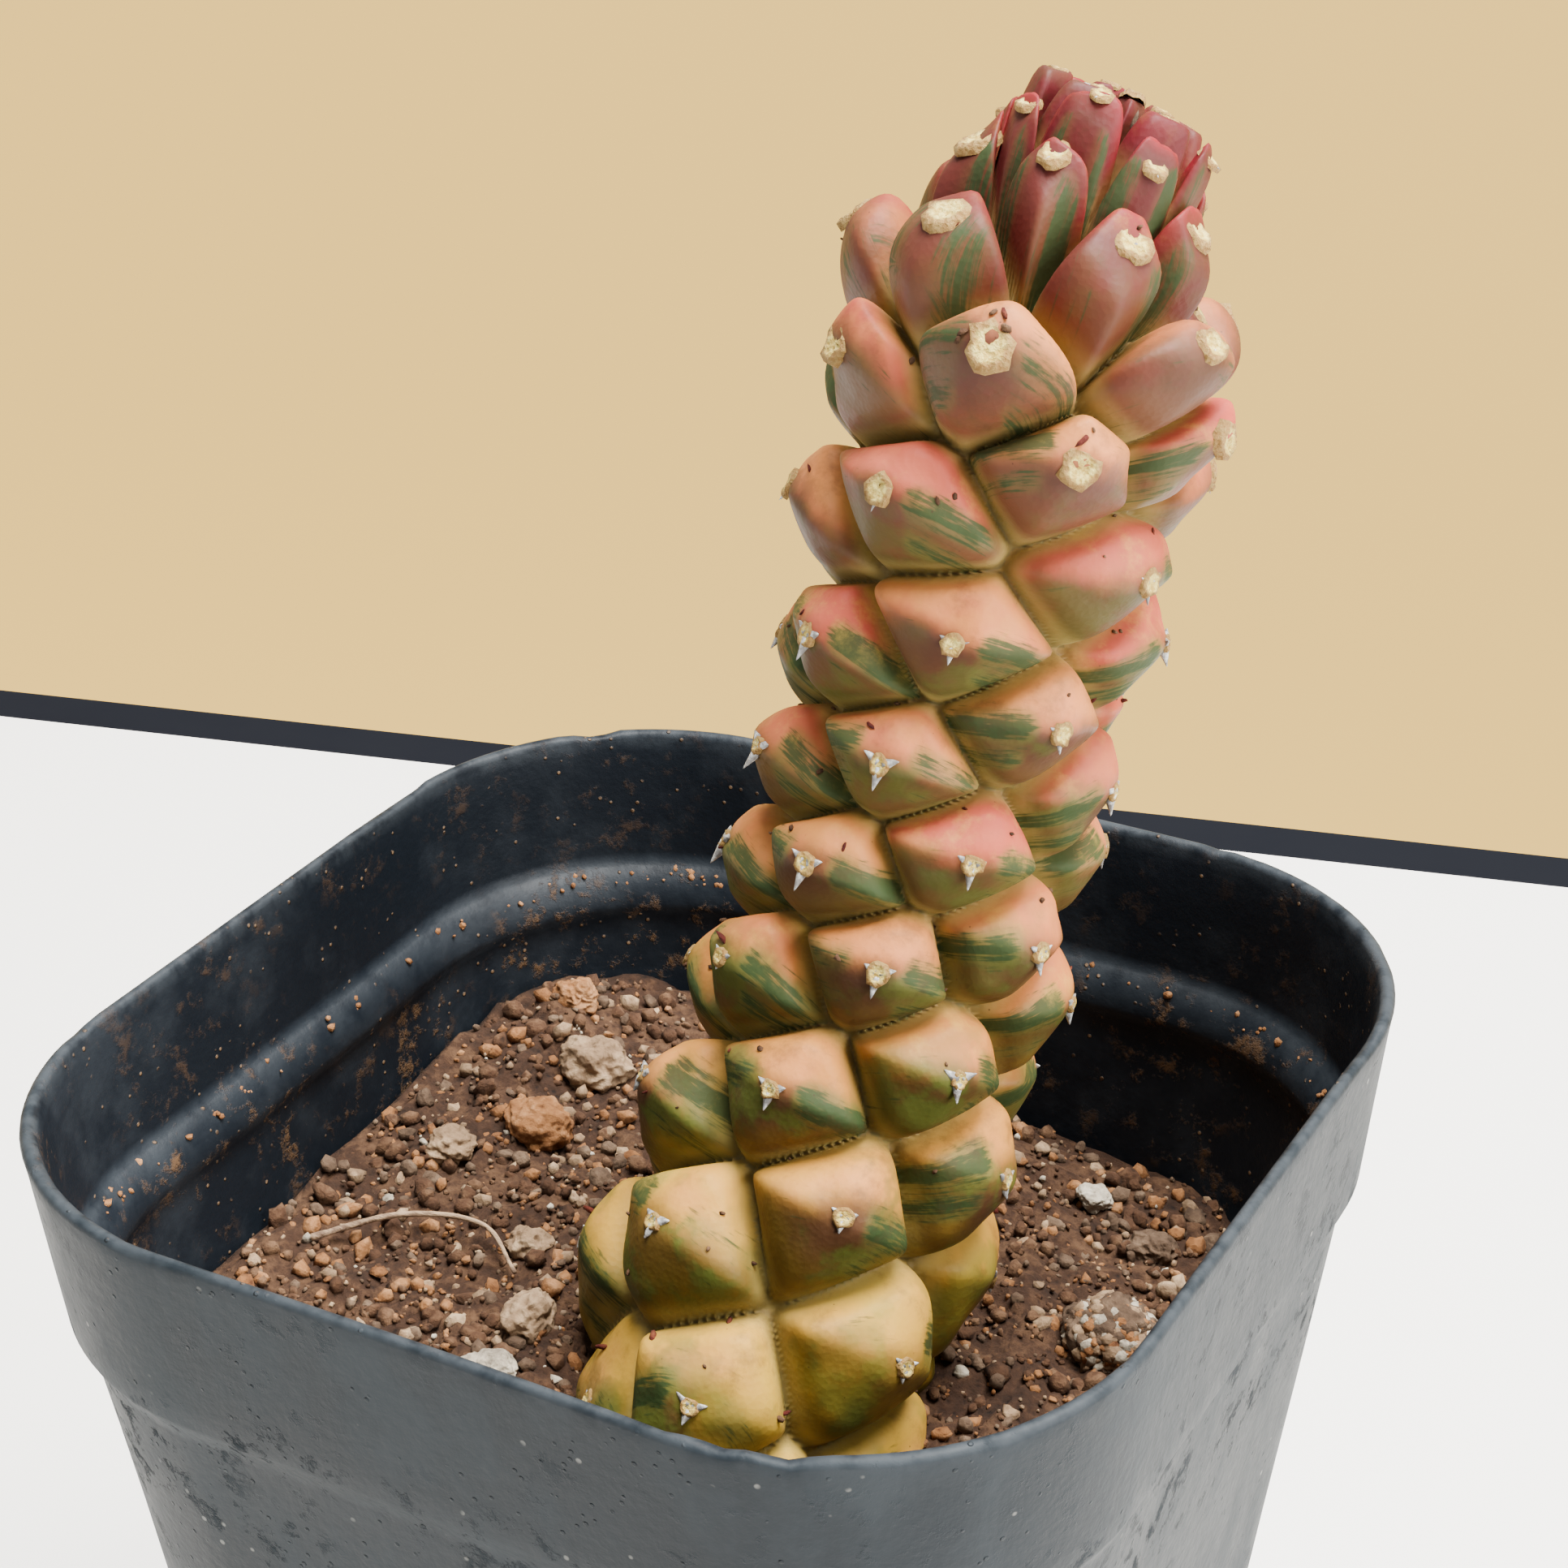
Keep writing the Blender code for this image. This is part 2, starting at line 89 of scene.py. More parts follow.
def smooth_value(knots: Knots, where: np.ndarray) -> np.ndarray:
    """Reads a smooth curve through knots, held flat past both ends.

    Args:
        knots: Pairs of place and value.
        where: Places to read.

    Returns:
        The curve's values there.
    """
    places = np.array([knot[0] for knot in knots])
    values = np.array([knot[1] for knot in knots])
    slopes = np.gradient(values, places)
    where = np.clip(where, places[0], places[-1])
    index = np.clip(np.searchsorted(places, where) - 1, 0, len(places) - 2)
    span = places[index + 1] - places[index]
    t = (where - places[index]) / span
    start = (2 * t**3 - 3 * t**2 + 1) * values[index] + (t**3 - 2 * t**2 + t) * span * slopes[index]
    end = (3 * t**2 - 2 * t**3) * values[index + 1] + (t**3 - t**2) * span * slopes[index + 1]
    return start + end


def ramp(value: float, low: float, high: float) -> float:
    """Rises straight from 0 at low to 1 at high."""
    return min(max((value - low) / (high - low), 0.0), 1.0)


def soft_step(value: np.ndarray, low: float, high: float) -> np.ndarray:
    """Rises smoothly from 0 at low to 1 at high."""
    t = np.clip((value - low) / (high - low), 0.0, 1.0)
    return t * t * (3 - 2 * t)


def on_circle(radius: np.ndarray, height: np.ndarray, angle: np.ndarray) -> np.ndarray:
    """Turns radius, height and angle into points round the Z axis."""
    return np.stack((radius * np.cos(angle), radius * np.sin(angle), height), axis=-1)


# --- Shader building -----------------------------------------------------------------


class Term:
    """A socket of a shader that takes part in Python expressions."""

    def __init__(self, graph: "Graph", socket: bpy.types.NodeSocket) -> None:
        """Wraps one output socket."""
        self.graph = graph
        self.socket = socket

    def _math(self, operation: str, *values: object) -> "Term":
        """Adds one Math node."""
        return self.graph.node("ShaderNodeMath", {"operation": operation}, dict(enumerate(values)))

    def __add__(self, other: object) -> "Term":
        """Sum."""
        return self._math("ADD", self, other)

    __radd__ = __add__

    def __sub__(self, other: object) -> "Term":
        """Difference."""
        return self._math("SUBTRACT", self, other)

    def __rsub__(self, other: object) -> "Term":
        """Difference from a number."""
        return self._math("SUBTRACT", other, self)

    def __mul__(self, other: object) -> "Term":
        """Product."""
        return self._math("MULTIPLY", self, other)

    __rmul__ = __mul__

    def lowest(self, other: object) -> "Term":
        """The smaller of two values."""
        return self._math("MINIMUM", self, other)

    def step(self, low: float, high: float) -> "Term":
        """A smooth rise from 0 at low to 1 at high.

        Args:
            low: Value at which the rise starts.
            high: Value at which it reaches 1.

        Returns:
            The rise, held between 0 and 1.
        """
        settings = {"interpolation_type": "SMOOTHSTEP"}
        values = {"Value": self, "From Min": low, "From Max": high}
        return self.graph.node("ShaderNodeMapRange", settings, values)


class Graph:
    """The node tree of one material, with a short way to add nodes."""

    def __init__(self, name: str) -> None:
        """Makes an empty material with a Principled shader.

        Args:
            name: The material's name.
        """
        self.material = bpy.data.materials.new(name)
        self.material.use_nodes = True
        self.tree = self.material.node_tree
        self.shader = self.tree.nodes["Principled BSDF"]
        place = self.tree.nodes.new("ShaderNodeTexCoord")
        self.place = Term(self, place.outputs["Object"])

    def node(
        self, kind: str, settings: dict[str, object], inputs: dict[object, object], output: object = 0
    ) -> Term:
        """Adds a node of any kind.

        Args:
            kind: The node's type name.
            settings: Its properties; "stops" fills a colour ramp.
            inputs: Values or terms of its sockets, by name or number.
            output: The output to hand back, by name or number.

        Returns:
            That output.
        """
        made = self.tree.nodes.new(kind)
        for key, value in settings.items():
            if key == "stops":
                self._fill(made.color_ramp, value)
            else:
                setattr(made, key, value)
        for key, value in inputs.items():
            self.feed(made.inputs[key], value)
        return Term(self, made.outputs[output])

    def _fill(self, band: bpy.types.ColorRamp, stops: Sequence[tuple[float, Colour]]) -> None:
        """Gives a colour ramp its stops.

        Args:
            band: The ramp to fill.
            stops: Places from 0 to 1, each with its colour.
        """
        while len(band.elements) < len(stops):
            band.elements.new(1.0)
        for element, (place, colour) in zip(band.elements, stops):
            element.position = place
            element.color = (*colour, 1.0)

    def feed(self, socket: bpy.types.NodeSocket, value: object) -> None:
        """Links a term to a socket, or sets the socket's own value.

        Args:
            socket: The input to feed.
            value: A term, a number or a colour.
        """
        if isinstance(value, Term):
            self.tree.links.new(value.socket, socket)
        elif isinstance(value, (tuple, Vector)) and socket.type == "RGBA":
            socket.default_value = (*value, 1.0)
        else:
            socket.default_value = value

    def mix(self, share: object, first: object, second: object) -> Term:
        """Mixes two colours by a share from 0 to 1."""
        return self.node("ShaderNodeMix", {"data_type": "RGBA"}, {0: share, 6: first, 7: second}, 2)

    def noise(self, scale: float, detail: float = 3.0, rough: float = 0.5, place: object = None) -> Term:
        """Soft noise, centred on 0.5; scale is in lumps per metre."""
        values = {"Vector": place or self.place, "Scale": scale, "Detail": detail, "Roughness": rough}
        return self.node("ShaderNodeTexNoise", {}, values)

    def cells(self, scale: float) -> Term:
        """Distance from the middle of small cells; scale is in cells per metre."""
        return self.node("ShaderNodeTexVoronoi", {}, {0: self.place, "Scale": scale}, "Distance")

    def attribute(self, name: str) -> Term:
        """A number stored at the mesh's points."""
        return self.node("ShaderNodeAttribute", {"attribute_name": name}, {}, "Fac")

    def band(self, share: object, stops: Sequence[tuple[float, Colour]]) -> Term:
        """A colour read along a ramp."""
        return self.node("ShaderNodeValToRGB", {"stops": stops}, {0: share})

    def relief(self, height: object, distance: float) -> Term:
        """A normal from a height, whose full range is this many metres."""
        values = {"Strength": 1.0, "Distance": distance, "Height": height}
        return self.node("ShaderNodeBump", {}, values)

    def finish(self, **sockets: object) -> bpy.types.Material:
        """Feeds the shader's sockets, named with underscores for spaces, and hands back the material.

        Returns:
            The material.
        """
        for name, value in sockets.items():
            self.feed(self.shader.inputs[name.replace("_", " ")], value)
        return self.material


# --- Finishes ------------------------------------------------------------------------


@dataclass(frozen=True)
class PotPlastic:
    """Matt charcoal plastic: scuffed and dusty outside, darker inside as painted shade, with clinging dirt.
    """

    face: Colour = (0.007, 0.0105, 0.014)
    dust: Colour = (0.023, 0.029, 0.034)
    # Inside colour: the same plastic made darker, as painted shade of the pot's hollow.
    inside: Colour = (0.004, 0.006, 0.009)
    dirt: Colour = (0.075, 0.040, 0.018)
    # Lighter edge colour: partly rubbed wear on the rim, partly painted highlight on the rim and along the
    # inner ledge.
    worn_edge_and_highlight: Colour = (0.032, 0.038, 0.044)

    def build(self) -> bpy.types.Material:
        """Builds the material; it reads the pot's "inner", "edge" and "depth" attributes.

        Returns:
            The material.
        """
        g = Graph("pot_plastic_scuffed")
        inner = g.attribute("inner")
        edge = g.attribute("edge")
        depth = g.attribute("depth")
        cloud = g.noise(110, 4, 0.6)
        streaks = g.noise(1, 5, 0.6, g.node("ShaderNodeMapping", {}, {0: g.place, "Scale": (260, 260, 50)}))
        fine = g.noise(1500, 3, 0.6)
        scuff = (cloud * 0.6 + streaks * 0.4).step(0.42, 0.66) * 0.75
        outside = g.mix(scuff, self.face, self.dust)
        specks = g.cells(700).step(0.16, 0.08) * g.noise(240, 2).step(0.58, 0.66)
        outside = g.mix(specks * 0.8, outside, (0.16, 0.16, 0.15))
        # The inside takes the darker colour as painted shade, with lighter dusty patches.
        hollow = g.mix(g.noise(160, 4, 0.6).step(0.45, 0.7) * 0.5, self.inside, (0.018, 0.022, 0.027))
        ledge_dirt = depth.step(0.009, 0.013) * (1 - depth.step(0.019, 0.028)) + 0.35
        grime = g.noise(420, 6, 0.75).step(0.53, 0.66) * g.noise(90, 3).step(0.36, 0.62) * ledge_dirt
        hollow = g.mix(grime.lowest(0.85), hollow, self.dirt)
        crumbs = g.cells(1100).step(0.2, 0.1) * g.noise(300, 3).step(0.52, 0.6)
        hollow = g.mix(crumbs * 0.9, hollow, (0.14, 0.085, 0.045))
        colour = g.mix(inner, outside, hollow)
        # Lighter colour at the edges: rubbed wear on the rim, painted highlight on the rim and the inner
        # ledge's lines.
        wear_and_highlight = edge * g.noise(500, 3, 0.6).step(0.3, 0.62)
        colour = g.mix(wear_and_highlight * 0.75, colour, self.worn_edge_and_highlight)
        rough = 0.46 + scuff * 0.18 + grime * 0.3 + fine * 0.1 - inner * 0.04
        height = cloud * 0.3 + fine * 0.25 + streaks * 0.25 + grime * 0.5 + crumbs * 0.6
        return g.finish(
            Base_Color=colour, Roughness=rough, Normal=g.relief(height, 0.00018), Specular_IOR_Level=0.13
        )


@dataclass(frozen=True)
class StemFlesh:
    """Waxy variegated skin: crimson crown, coral and peach middle, yellow and olive foot."""

    groove: Colour = (0.36, 0.27, 0.075)
    streak: Colour = (0.018, 0.040, 0.012)
    # Dark colour for the bottom of each groove: painted shade.
    crease_shade: Colour = (0.06, 0.036, 0.014)

    def build(self) -> bpy.types.Material:
        """Builds the material; it reads the stem's point attributes.

        Returns:
            The material.
        """
        g = Graph("stem_flesh_variegated")
        along = g.attribute("along")
        share = g.attribute("cell_share")
        up = g.attribute("cell_up")
        streak = g.attribute("streak")
        blush = g.attribute("blush")
        soft = g.noise(170, 3, 0.55)
        fine = g.noise(900, 4, 0.6)
        run = g.attribute("run")
        sweep = g.attribute("sweep")
        strand = g.node("ShaderNodeCombineXYZ", {}, {0: run * 0.55, 1: sweep * 4.2, 2: blush * 40.0})
        bristle = g.noise(1, 3, 0.65, strand)
        where = along + (soft - 0.5) * 0.16
        tops = g.band(
            where,
            (
                (0.0, (0.46, 0.27, 0.03)),
                (0.20, (0.46, 0.20, 0.03)),
                (0.34, (0.44, 0.125, 0.035)),
                (0.50, (0.40, 0.075, 0.035)),
                (0.62, (0.38, 0.075, 0.035)),
                (0.76, (0.36, 0.075, 0.035)),
                (0.88, (0.22, 0.022, 0.020)),
                (1.0, (0.17, 0.007, 0.014)),
            ),
        )
        faces = g.band(
            where,
            (
                (0.0, (0.125, 0.085, 0.010)),
                (0.2, (0.095, 0.048, 0.010)),
                (0.38, (0.082, 0.050, 0.014)),
                (0.6, (0.090, 0.040, 0.016)),
                (0.78, (0.115, 0.036, 0.017)),
                (0.9, (0.085, 0.018, 0.012)),
                (1.0, (0.080, 0.007, 0.010)),
            ),
        )
        cloud = g.noise(85, 3, 0.6)
        lower = ((up * -1) + (soft - 0.5) * 0.8).step(-0.42, 0.16)
        skin = g.mix(lower, tops, faces)
        peach = (g.noise(300, 3, 0.6) * 0.5 + blush * 0.5).step(0.40, 0.62) * (1 - along.step(0.84, 0.95))
        skin = g.mix(peach * (1 - lower) * 0.70 * along.step(0.18, 0.42), skin, (0.50, 0.20, 0.045))
        rosy = (1 - blush).step(0.55, 0.85) * (1 - lower) * along.step(0.30, 0.45)
        skin = g.mix(rosy * 0.6 * (1 - along.step(0.84, 0.95)), skin, (0.34, 0.045, 0.034))
        # Lower faces beneath each areole darkened towards wine-brown: painted shade, partly the skin's own
        # dusky tint.
        lower_face_shade = (blush * 0.7 + 0.3) * share.step(0.25, 0.75) * lower
        skin = g.mix(lower_face_shade * 0.75, skin, (0.060, 0.020, 0.015))
        elsewhere = g.node("ShaderNodeVectorMath", {"operation": "ADD"}, {0: g.place, 1: (3.1, 0.7, 5.3)})
        green = g.noise(150, 4, 0.66, elsewhere)
        olive = green.step(0.46, 0.60) * (1 - along.step(0.50, 0.85) * 0.8) * (0.22 + lower * 0.70)
        skin = g.mix(olive * 0.88, skin, (0.062, 0.070, 0.014))
        moss = green.step(0.50, 0.60) * (1 - along.step(0.16, 0.42)) * share.step(0.1, 0.4)
        skin = g.mix(moss * 0.55, skin, (0.085, 0.110, 0.016))
        gold = cloud.step(0.52, 0.68) * (1 - along.step(0.1, 0.6)) * (1 - lower * 0.5)
        skin = g.mix(gold * 0.6, skin, (0.50, 0.32, 0.03))
        # A bright coral glow on the upper faces near each areole: painted highlight.
        glow = (1 - lower) * share.step(0.2, 0.6) * g.noise(240, 2).step(0.35, 0.65)
        skin = g.mix(glow * 0.26 * (1 - along.step(0.8, 0.95)), skin, (0.62, 0.20, 0.10))
        rim = (1 - share.step(0.02, 0.20))
        skin = g.mix(rim * (0.72 - along.step(0.8, 1.0) * 0.3), skin, self.groove)
        # A thin dark line at the bottom of each groove: painted shade.
        skin = g.mix((1 - share.step(0.0, 0.11)) * 0.55, skin, self.crease_shade)
        halo = (streak + (soft - 0.5) * 0.8).step(0.10, 0.55)
        skin = g.mix(halo * 0.5 * (1 - along.step(0.6, 0.9) * 0.7), skin, (0.10, 0.105, 0.024))
        mark = (streak + (bristle - 0.5) * 2.2 + (fine - 0.5) * 0.7).step(0.40, 0.88)
        skin = g.mix(mark * 0.88, skin, self.streak)
        mottle = (g.noise(420, 5, 0.72) - 0.5) * 1.5 + (blush - 0.5) * 0.3
        skin = g.mix(mottle.step(0.06, 0.42) * 0.42, skin, (0.055, 0.026, 0.012))
        skin = g.mix((mottle * -1).step(0.06, 0.42) * (1 - lower) * 0.30, skin, (0.56, 0.36, 0.06))
        freckle = g.cells(1500).step(0.12, 0.05) * g.noise(500, 2).step(0.6, 0.66)
        skin = g.mix(freckle * 0.7, skin, (0.04, 0.014, 0.008))
        rough = 0.46 + fine * 0.14 + mark * 0.12
        height = fine * 0.4 + soft * 0.3 + g.cells(2600) * 0.3
        return g.finish(
            Base_Color=skin,
            Roughness=rough,
            Normal=g.relief(height, 0.00006),
            Subsurface_Weight=0.06,
            Subsurface_Scale=0.002,
            Subsurface_Radius=(1.0, 0.35, 0.15),
            Specular_IOR_Level=0.17,
        )


@dataclass(frozen=True)
class Mineral:
    """Crumbly stone or soil of three tones."""

    name: str
    dark: Colour
    middle: Colour
    light: Colour
    lumps: float = 900.0
    depth: float = 0.0005
    roughness: float = 0.88

    def build(self) -> bpy.types.Material:
        """Builds the material from noise at two sizes, with pits darkened as painted shade.

        Returns:
            The material.
        """
        g = Graph(self.name)
        big = g.noise(self.lumps * 0.3, 3, 0.6)
        small = g.noise(self.lumps, 6, 0.7)
        pits = g.cells(self.lumps * 1.6)
        # The tone darkens in the pits: painted shade.
        tone = big * 0.5 + small * 0.6 - (1 - pits.step(0.0, 0.35)) * 0.12
        stops = ((0.34, self.dark), (0.54, self.middle), (0.74, self.light))
        height = small * 0.7 + pits * 0.3 + big * 0.4
        return g.finish(
            Base_Color=g.band(tone, stops),
            Roughness=self.roughness + small * 0.1,
            Normal=g.relief(height, self.depth),
            Specular_IOR_Level=0.2,
        )


@dataclass(frozen=True)
class ScarCork:
    """Dry crusty leaf scar: cream-yellow crumb with a rusty ring near its edge."""

    crumb: Colour = (0.42, 0.27, 0.045)
    pale: Colour = (0.64, 0.52, 0.15)
    rust: Colour = (0.16, 0.06, 0.012)

    def build(self) -> bpy.types.Material:
        """Builds the material; it reads the scar's "ring" attribute.

        Returns:
            The material.
        """
        g = Graph("leaf_scar_cork")
        ring = g.attribute("ring")
        grain = g.noise(2600, 5, 0.7)
        face = g.mix(grain.step(0.4, 0.62), self.crumb, self.pale)
        face = g.mix(ring.step(0.55, 0.8) * 0.75, face, self.rust)
        pits = g.cells(3200)
        height = grain * 0.8 + pits * 0.5
        return g.finish(Base_Color=face, Roughness=0.78, Normal=g.relief(height, 0.00028))


@dataclass(frozen=True)
class SpineHorn:
    """Silvery white horn of spines and their shields."""

    pale: Colour = (0.50, 0.50, 0.48)
    grey: Colour = (0.17, 0.16, 0.15)

    def build(self) -> bpy.types.Material:
        """Builds the material.

        Returns:
            The material.
        """
        g = Graph("spine_horn")
        grain = g.noise(2200, 4, 0.6)
        return g.finish(
            Base_Color=g.mix(grain.step(0.42, 0.66), self.grey, self.pale),
            Roughness=0.30 + grain * 0.2,
            Normal=g.relief(grain, 0.0001),
        )


@dataclass(frozen=True)
class DryRoot:
    """Dry brown fibre with fine lengthwise streaks."""

    dark: Colour = (0.10, 0.055, 0.03)
    light: Colour = (0.36, 0.24, 0.14)

    def build(self) -> bpy.types.Material:
        """Builds the material.

        Returns:
            The material.
        """
        g = Graph("dry_root_fibre")
        grain = g.noise(1, 4, 0.7, g.node("ShaderNodeMapping", {}, {0: g.place, "Scale": (500, 2400, 2400)}))
        return g.finish(
            Base_Color=g.mix(grain.step(0.35, 0.65), self.dark, self.light),
            Roughness=0.8,
            Normal=g.relief(grain, 0.0002),
        )


@dataclass(frozen=True)
class TableTop:
    """Plain off-white table with the faintest clouding."""

    white: Colour = (0.90, 0.885, 0.85)

    def build(self) -> bpy.types.Material:
        """Builds the material.

        Returns:
            The material.
        """
        g = Graph("table_white")
        cloud = g.noise(9, 3, 0.5)
        return g.finish(
            Base_Color=g.mix(cloud * 0.15, self.white, (0.72, 0.70, 0.68)), Roughness=0.62 + cloud * 0.05
        )


@dataclass(frozen=True)
class Backdrop:
    """Plain warm beige wall, glowing evenly so that it stays soft, a little duller high up."""

    glow: Colour = (2.18, 1.36, 0.29)
    high: Colour = (1.75, 1.10, 0.25)

    def build(self) -> bpy.types.Material:
        """Builds the material.

        Returns:
            The material.
        """
        g = Graph("beige_wall")
        level = g.node("ShaderNodeSeparateXYZ", {}, {0: g.place}, "Z")
        share = level.step(-0.42, -0.12)
        return g.finish(
            Base_Color=(0.02, 0.018, 0.015),
            Roughness=0.95,
            Emission_Color=g.mix(share, self.glow, self.high),
            Emission_Strength=1.0,
            Specular_IOR_Level=0.1,
        )


@dataclass(frozen=True)
class FarEdgeStrip:
    """Dark band along the table's far edge."""

    dark: Colour = (0.004, 0.005, 0.008)

    def build(self) -> bpy.types.Material:
        """Builds the material.

        Returns:
            The material.
        """
        g = Graph("far_edge_dark")
        return g.finish(
            Base_Color=g.mix(g.noise(60), self.dark, (0.006, 0.007, 0.010)),
            Roughness=0.8,
            Specular_IOR_Level=0.05,
        )


# --- Mesh helpers --------------------------------------------------------------------


def mesh_object(name: str, points: Iterable, faces: Iterable, finish: bpy.types.Material) -> bpy.types.Object:
    """Makes a smooth-shaded object.

    Args:
        name: The piece's name.
        points: Vertex places.
        faces: Vertex numbers of each face.
        finish: Its material.

    Returns:
        The object, linked to the scene.
    """
    mesh = bpy.data.meshes.new(name)
    mesh.from_pydata([tuple(p) for p in points], [], [tuple(int(i) for i in f) for f in faces])
    mesh.shade_smooth()
    mesh.materials.append(finish)
    mesh.update()
    obj = bpy.data.objects.new(name, mesh)
    bpy.context.scene.collection.objects.link(obj)
    return obj


def set_attribute(obj: bpy.types.Object, name: str, values: np.ndarray) -> None:
    """Stores one number at each point of the mesh."""
    made = obj.data.attributes.new(name, "FLOAT", "POINT")
    made.data.foreach_set("value", np.asarray(values, np.float32))


def only(obj: bpy.types.Object) -> None:
    """Leaves this object alone selected and active.

    Args:
        obj: The object to select.
    """
    bpy.ops.object.select_all(action="DESELECT")
    obj.select_set(True)
    bpy.context.view_layer.objects.active = obj


def apply_modifier(obj: bpy.types.Object, kind: str, **settings: object) -> None:
    """Adds a modifier with these settings and applies it.

    Args:
        obj: The object that takes the modifier.
        kind: The modifier's type.
    """
    only(obj)
    modifier = obj.modifiers.new(kind.lower(), kind)
    for key, value in settings.items():
        setattr(modifier, key, value)
    bpy.ops.object.modifier_apply(modifier=modifier.name)


def join(name: str, pieces: Sequence[bpy.types.Object]) -> bpy.types.Object:
    """Joins copies into one piece of this name.

    Args:
        name: The joined piece's name.
        pieces: The objects to join.

    Returns:
        The piece.
    """
    only(pieces[0])
    for piece in pieces:
        piece.select_set(True)
    bpy.ops.object.join()
    made = bpy.context.view_layer.objects.active
    made.name = name
    made.data.name = name
    return made


def grid_faces(rows: int, columns: int, first: int = 0) -> list[tuple[int, int, int, int]]:
    """Quads of a tube of rows rings, each of columns points.

    Args:
        rows: How many rings.
        columns: How many points a ring.
        first: Number of the first point.

    Returns:
        Each quad's point numbers.
    """
    faces = []
    for i in range(rows - 1):
        for j in range(columns):
            k = (j + 1) % columns
            a = first + i * columns
            b = a + columns
            faces.append((a + j, a + k, b + k, b + j))
    return faces


def dress(piece: bpy.types.Object, slot: Slot, *nodes: str) -> None:
    """Ties a piece to the plant and hides the solids that it stands for.

    Args:
        piece: The finished piece.
        slot: The material slot of the record that it takes its finish from; not used.
        nodes: Names of the solids that it stands for.
    """
    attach(piece, "root")
    if nodes:
        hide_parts(*nodes)
    LOG.info("%s: %d faces", piece.name, len(piece.data.polygons))


# --- Stem ----------------------------------------------------------------------------


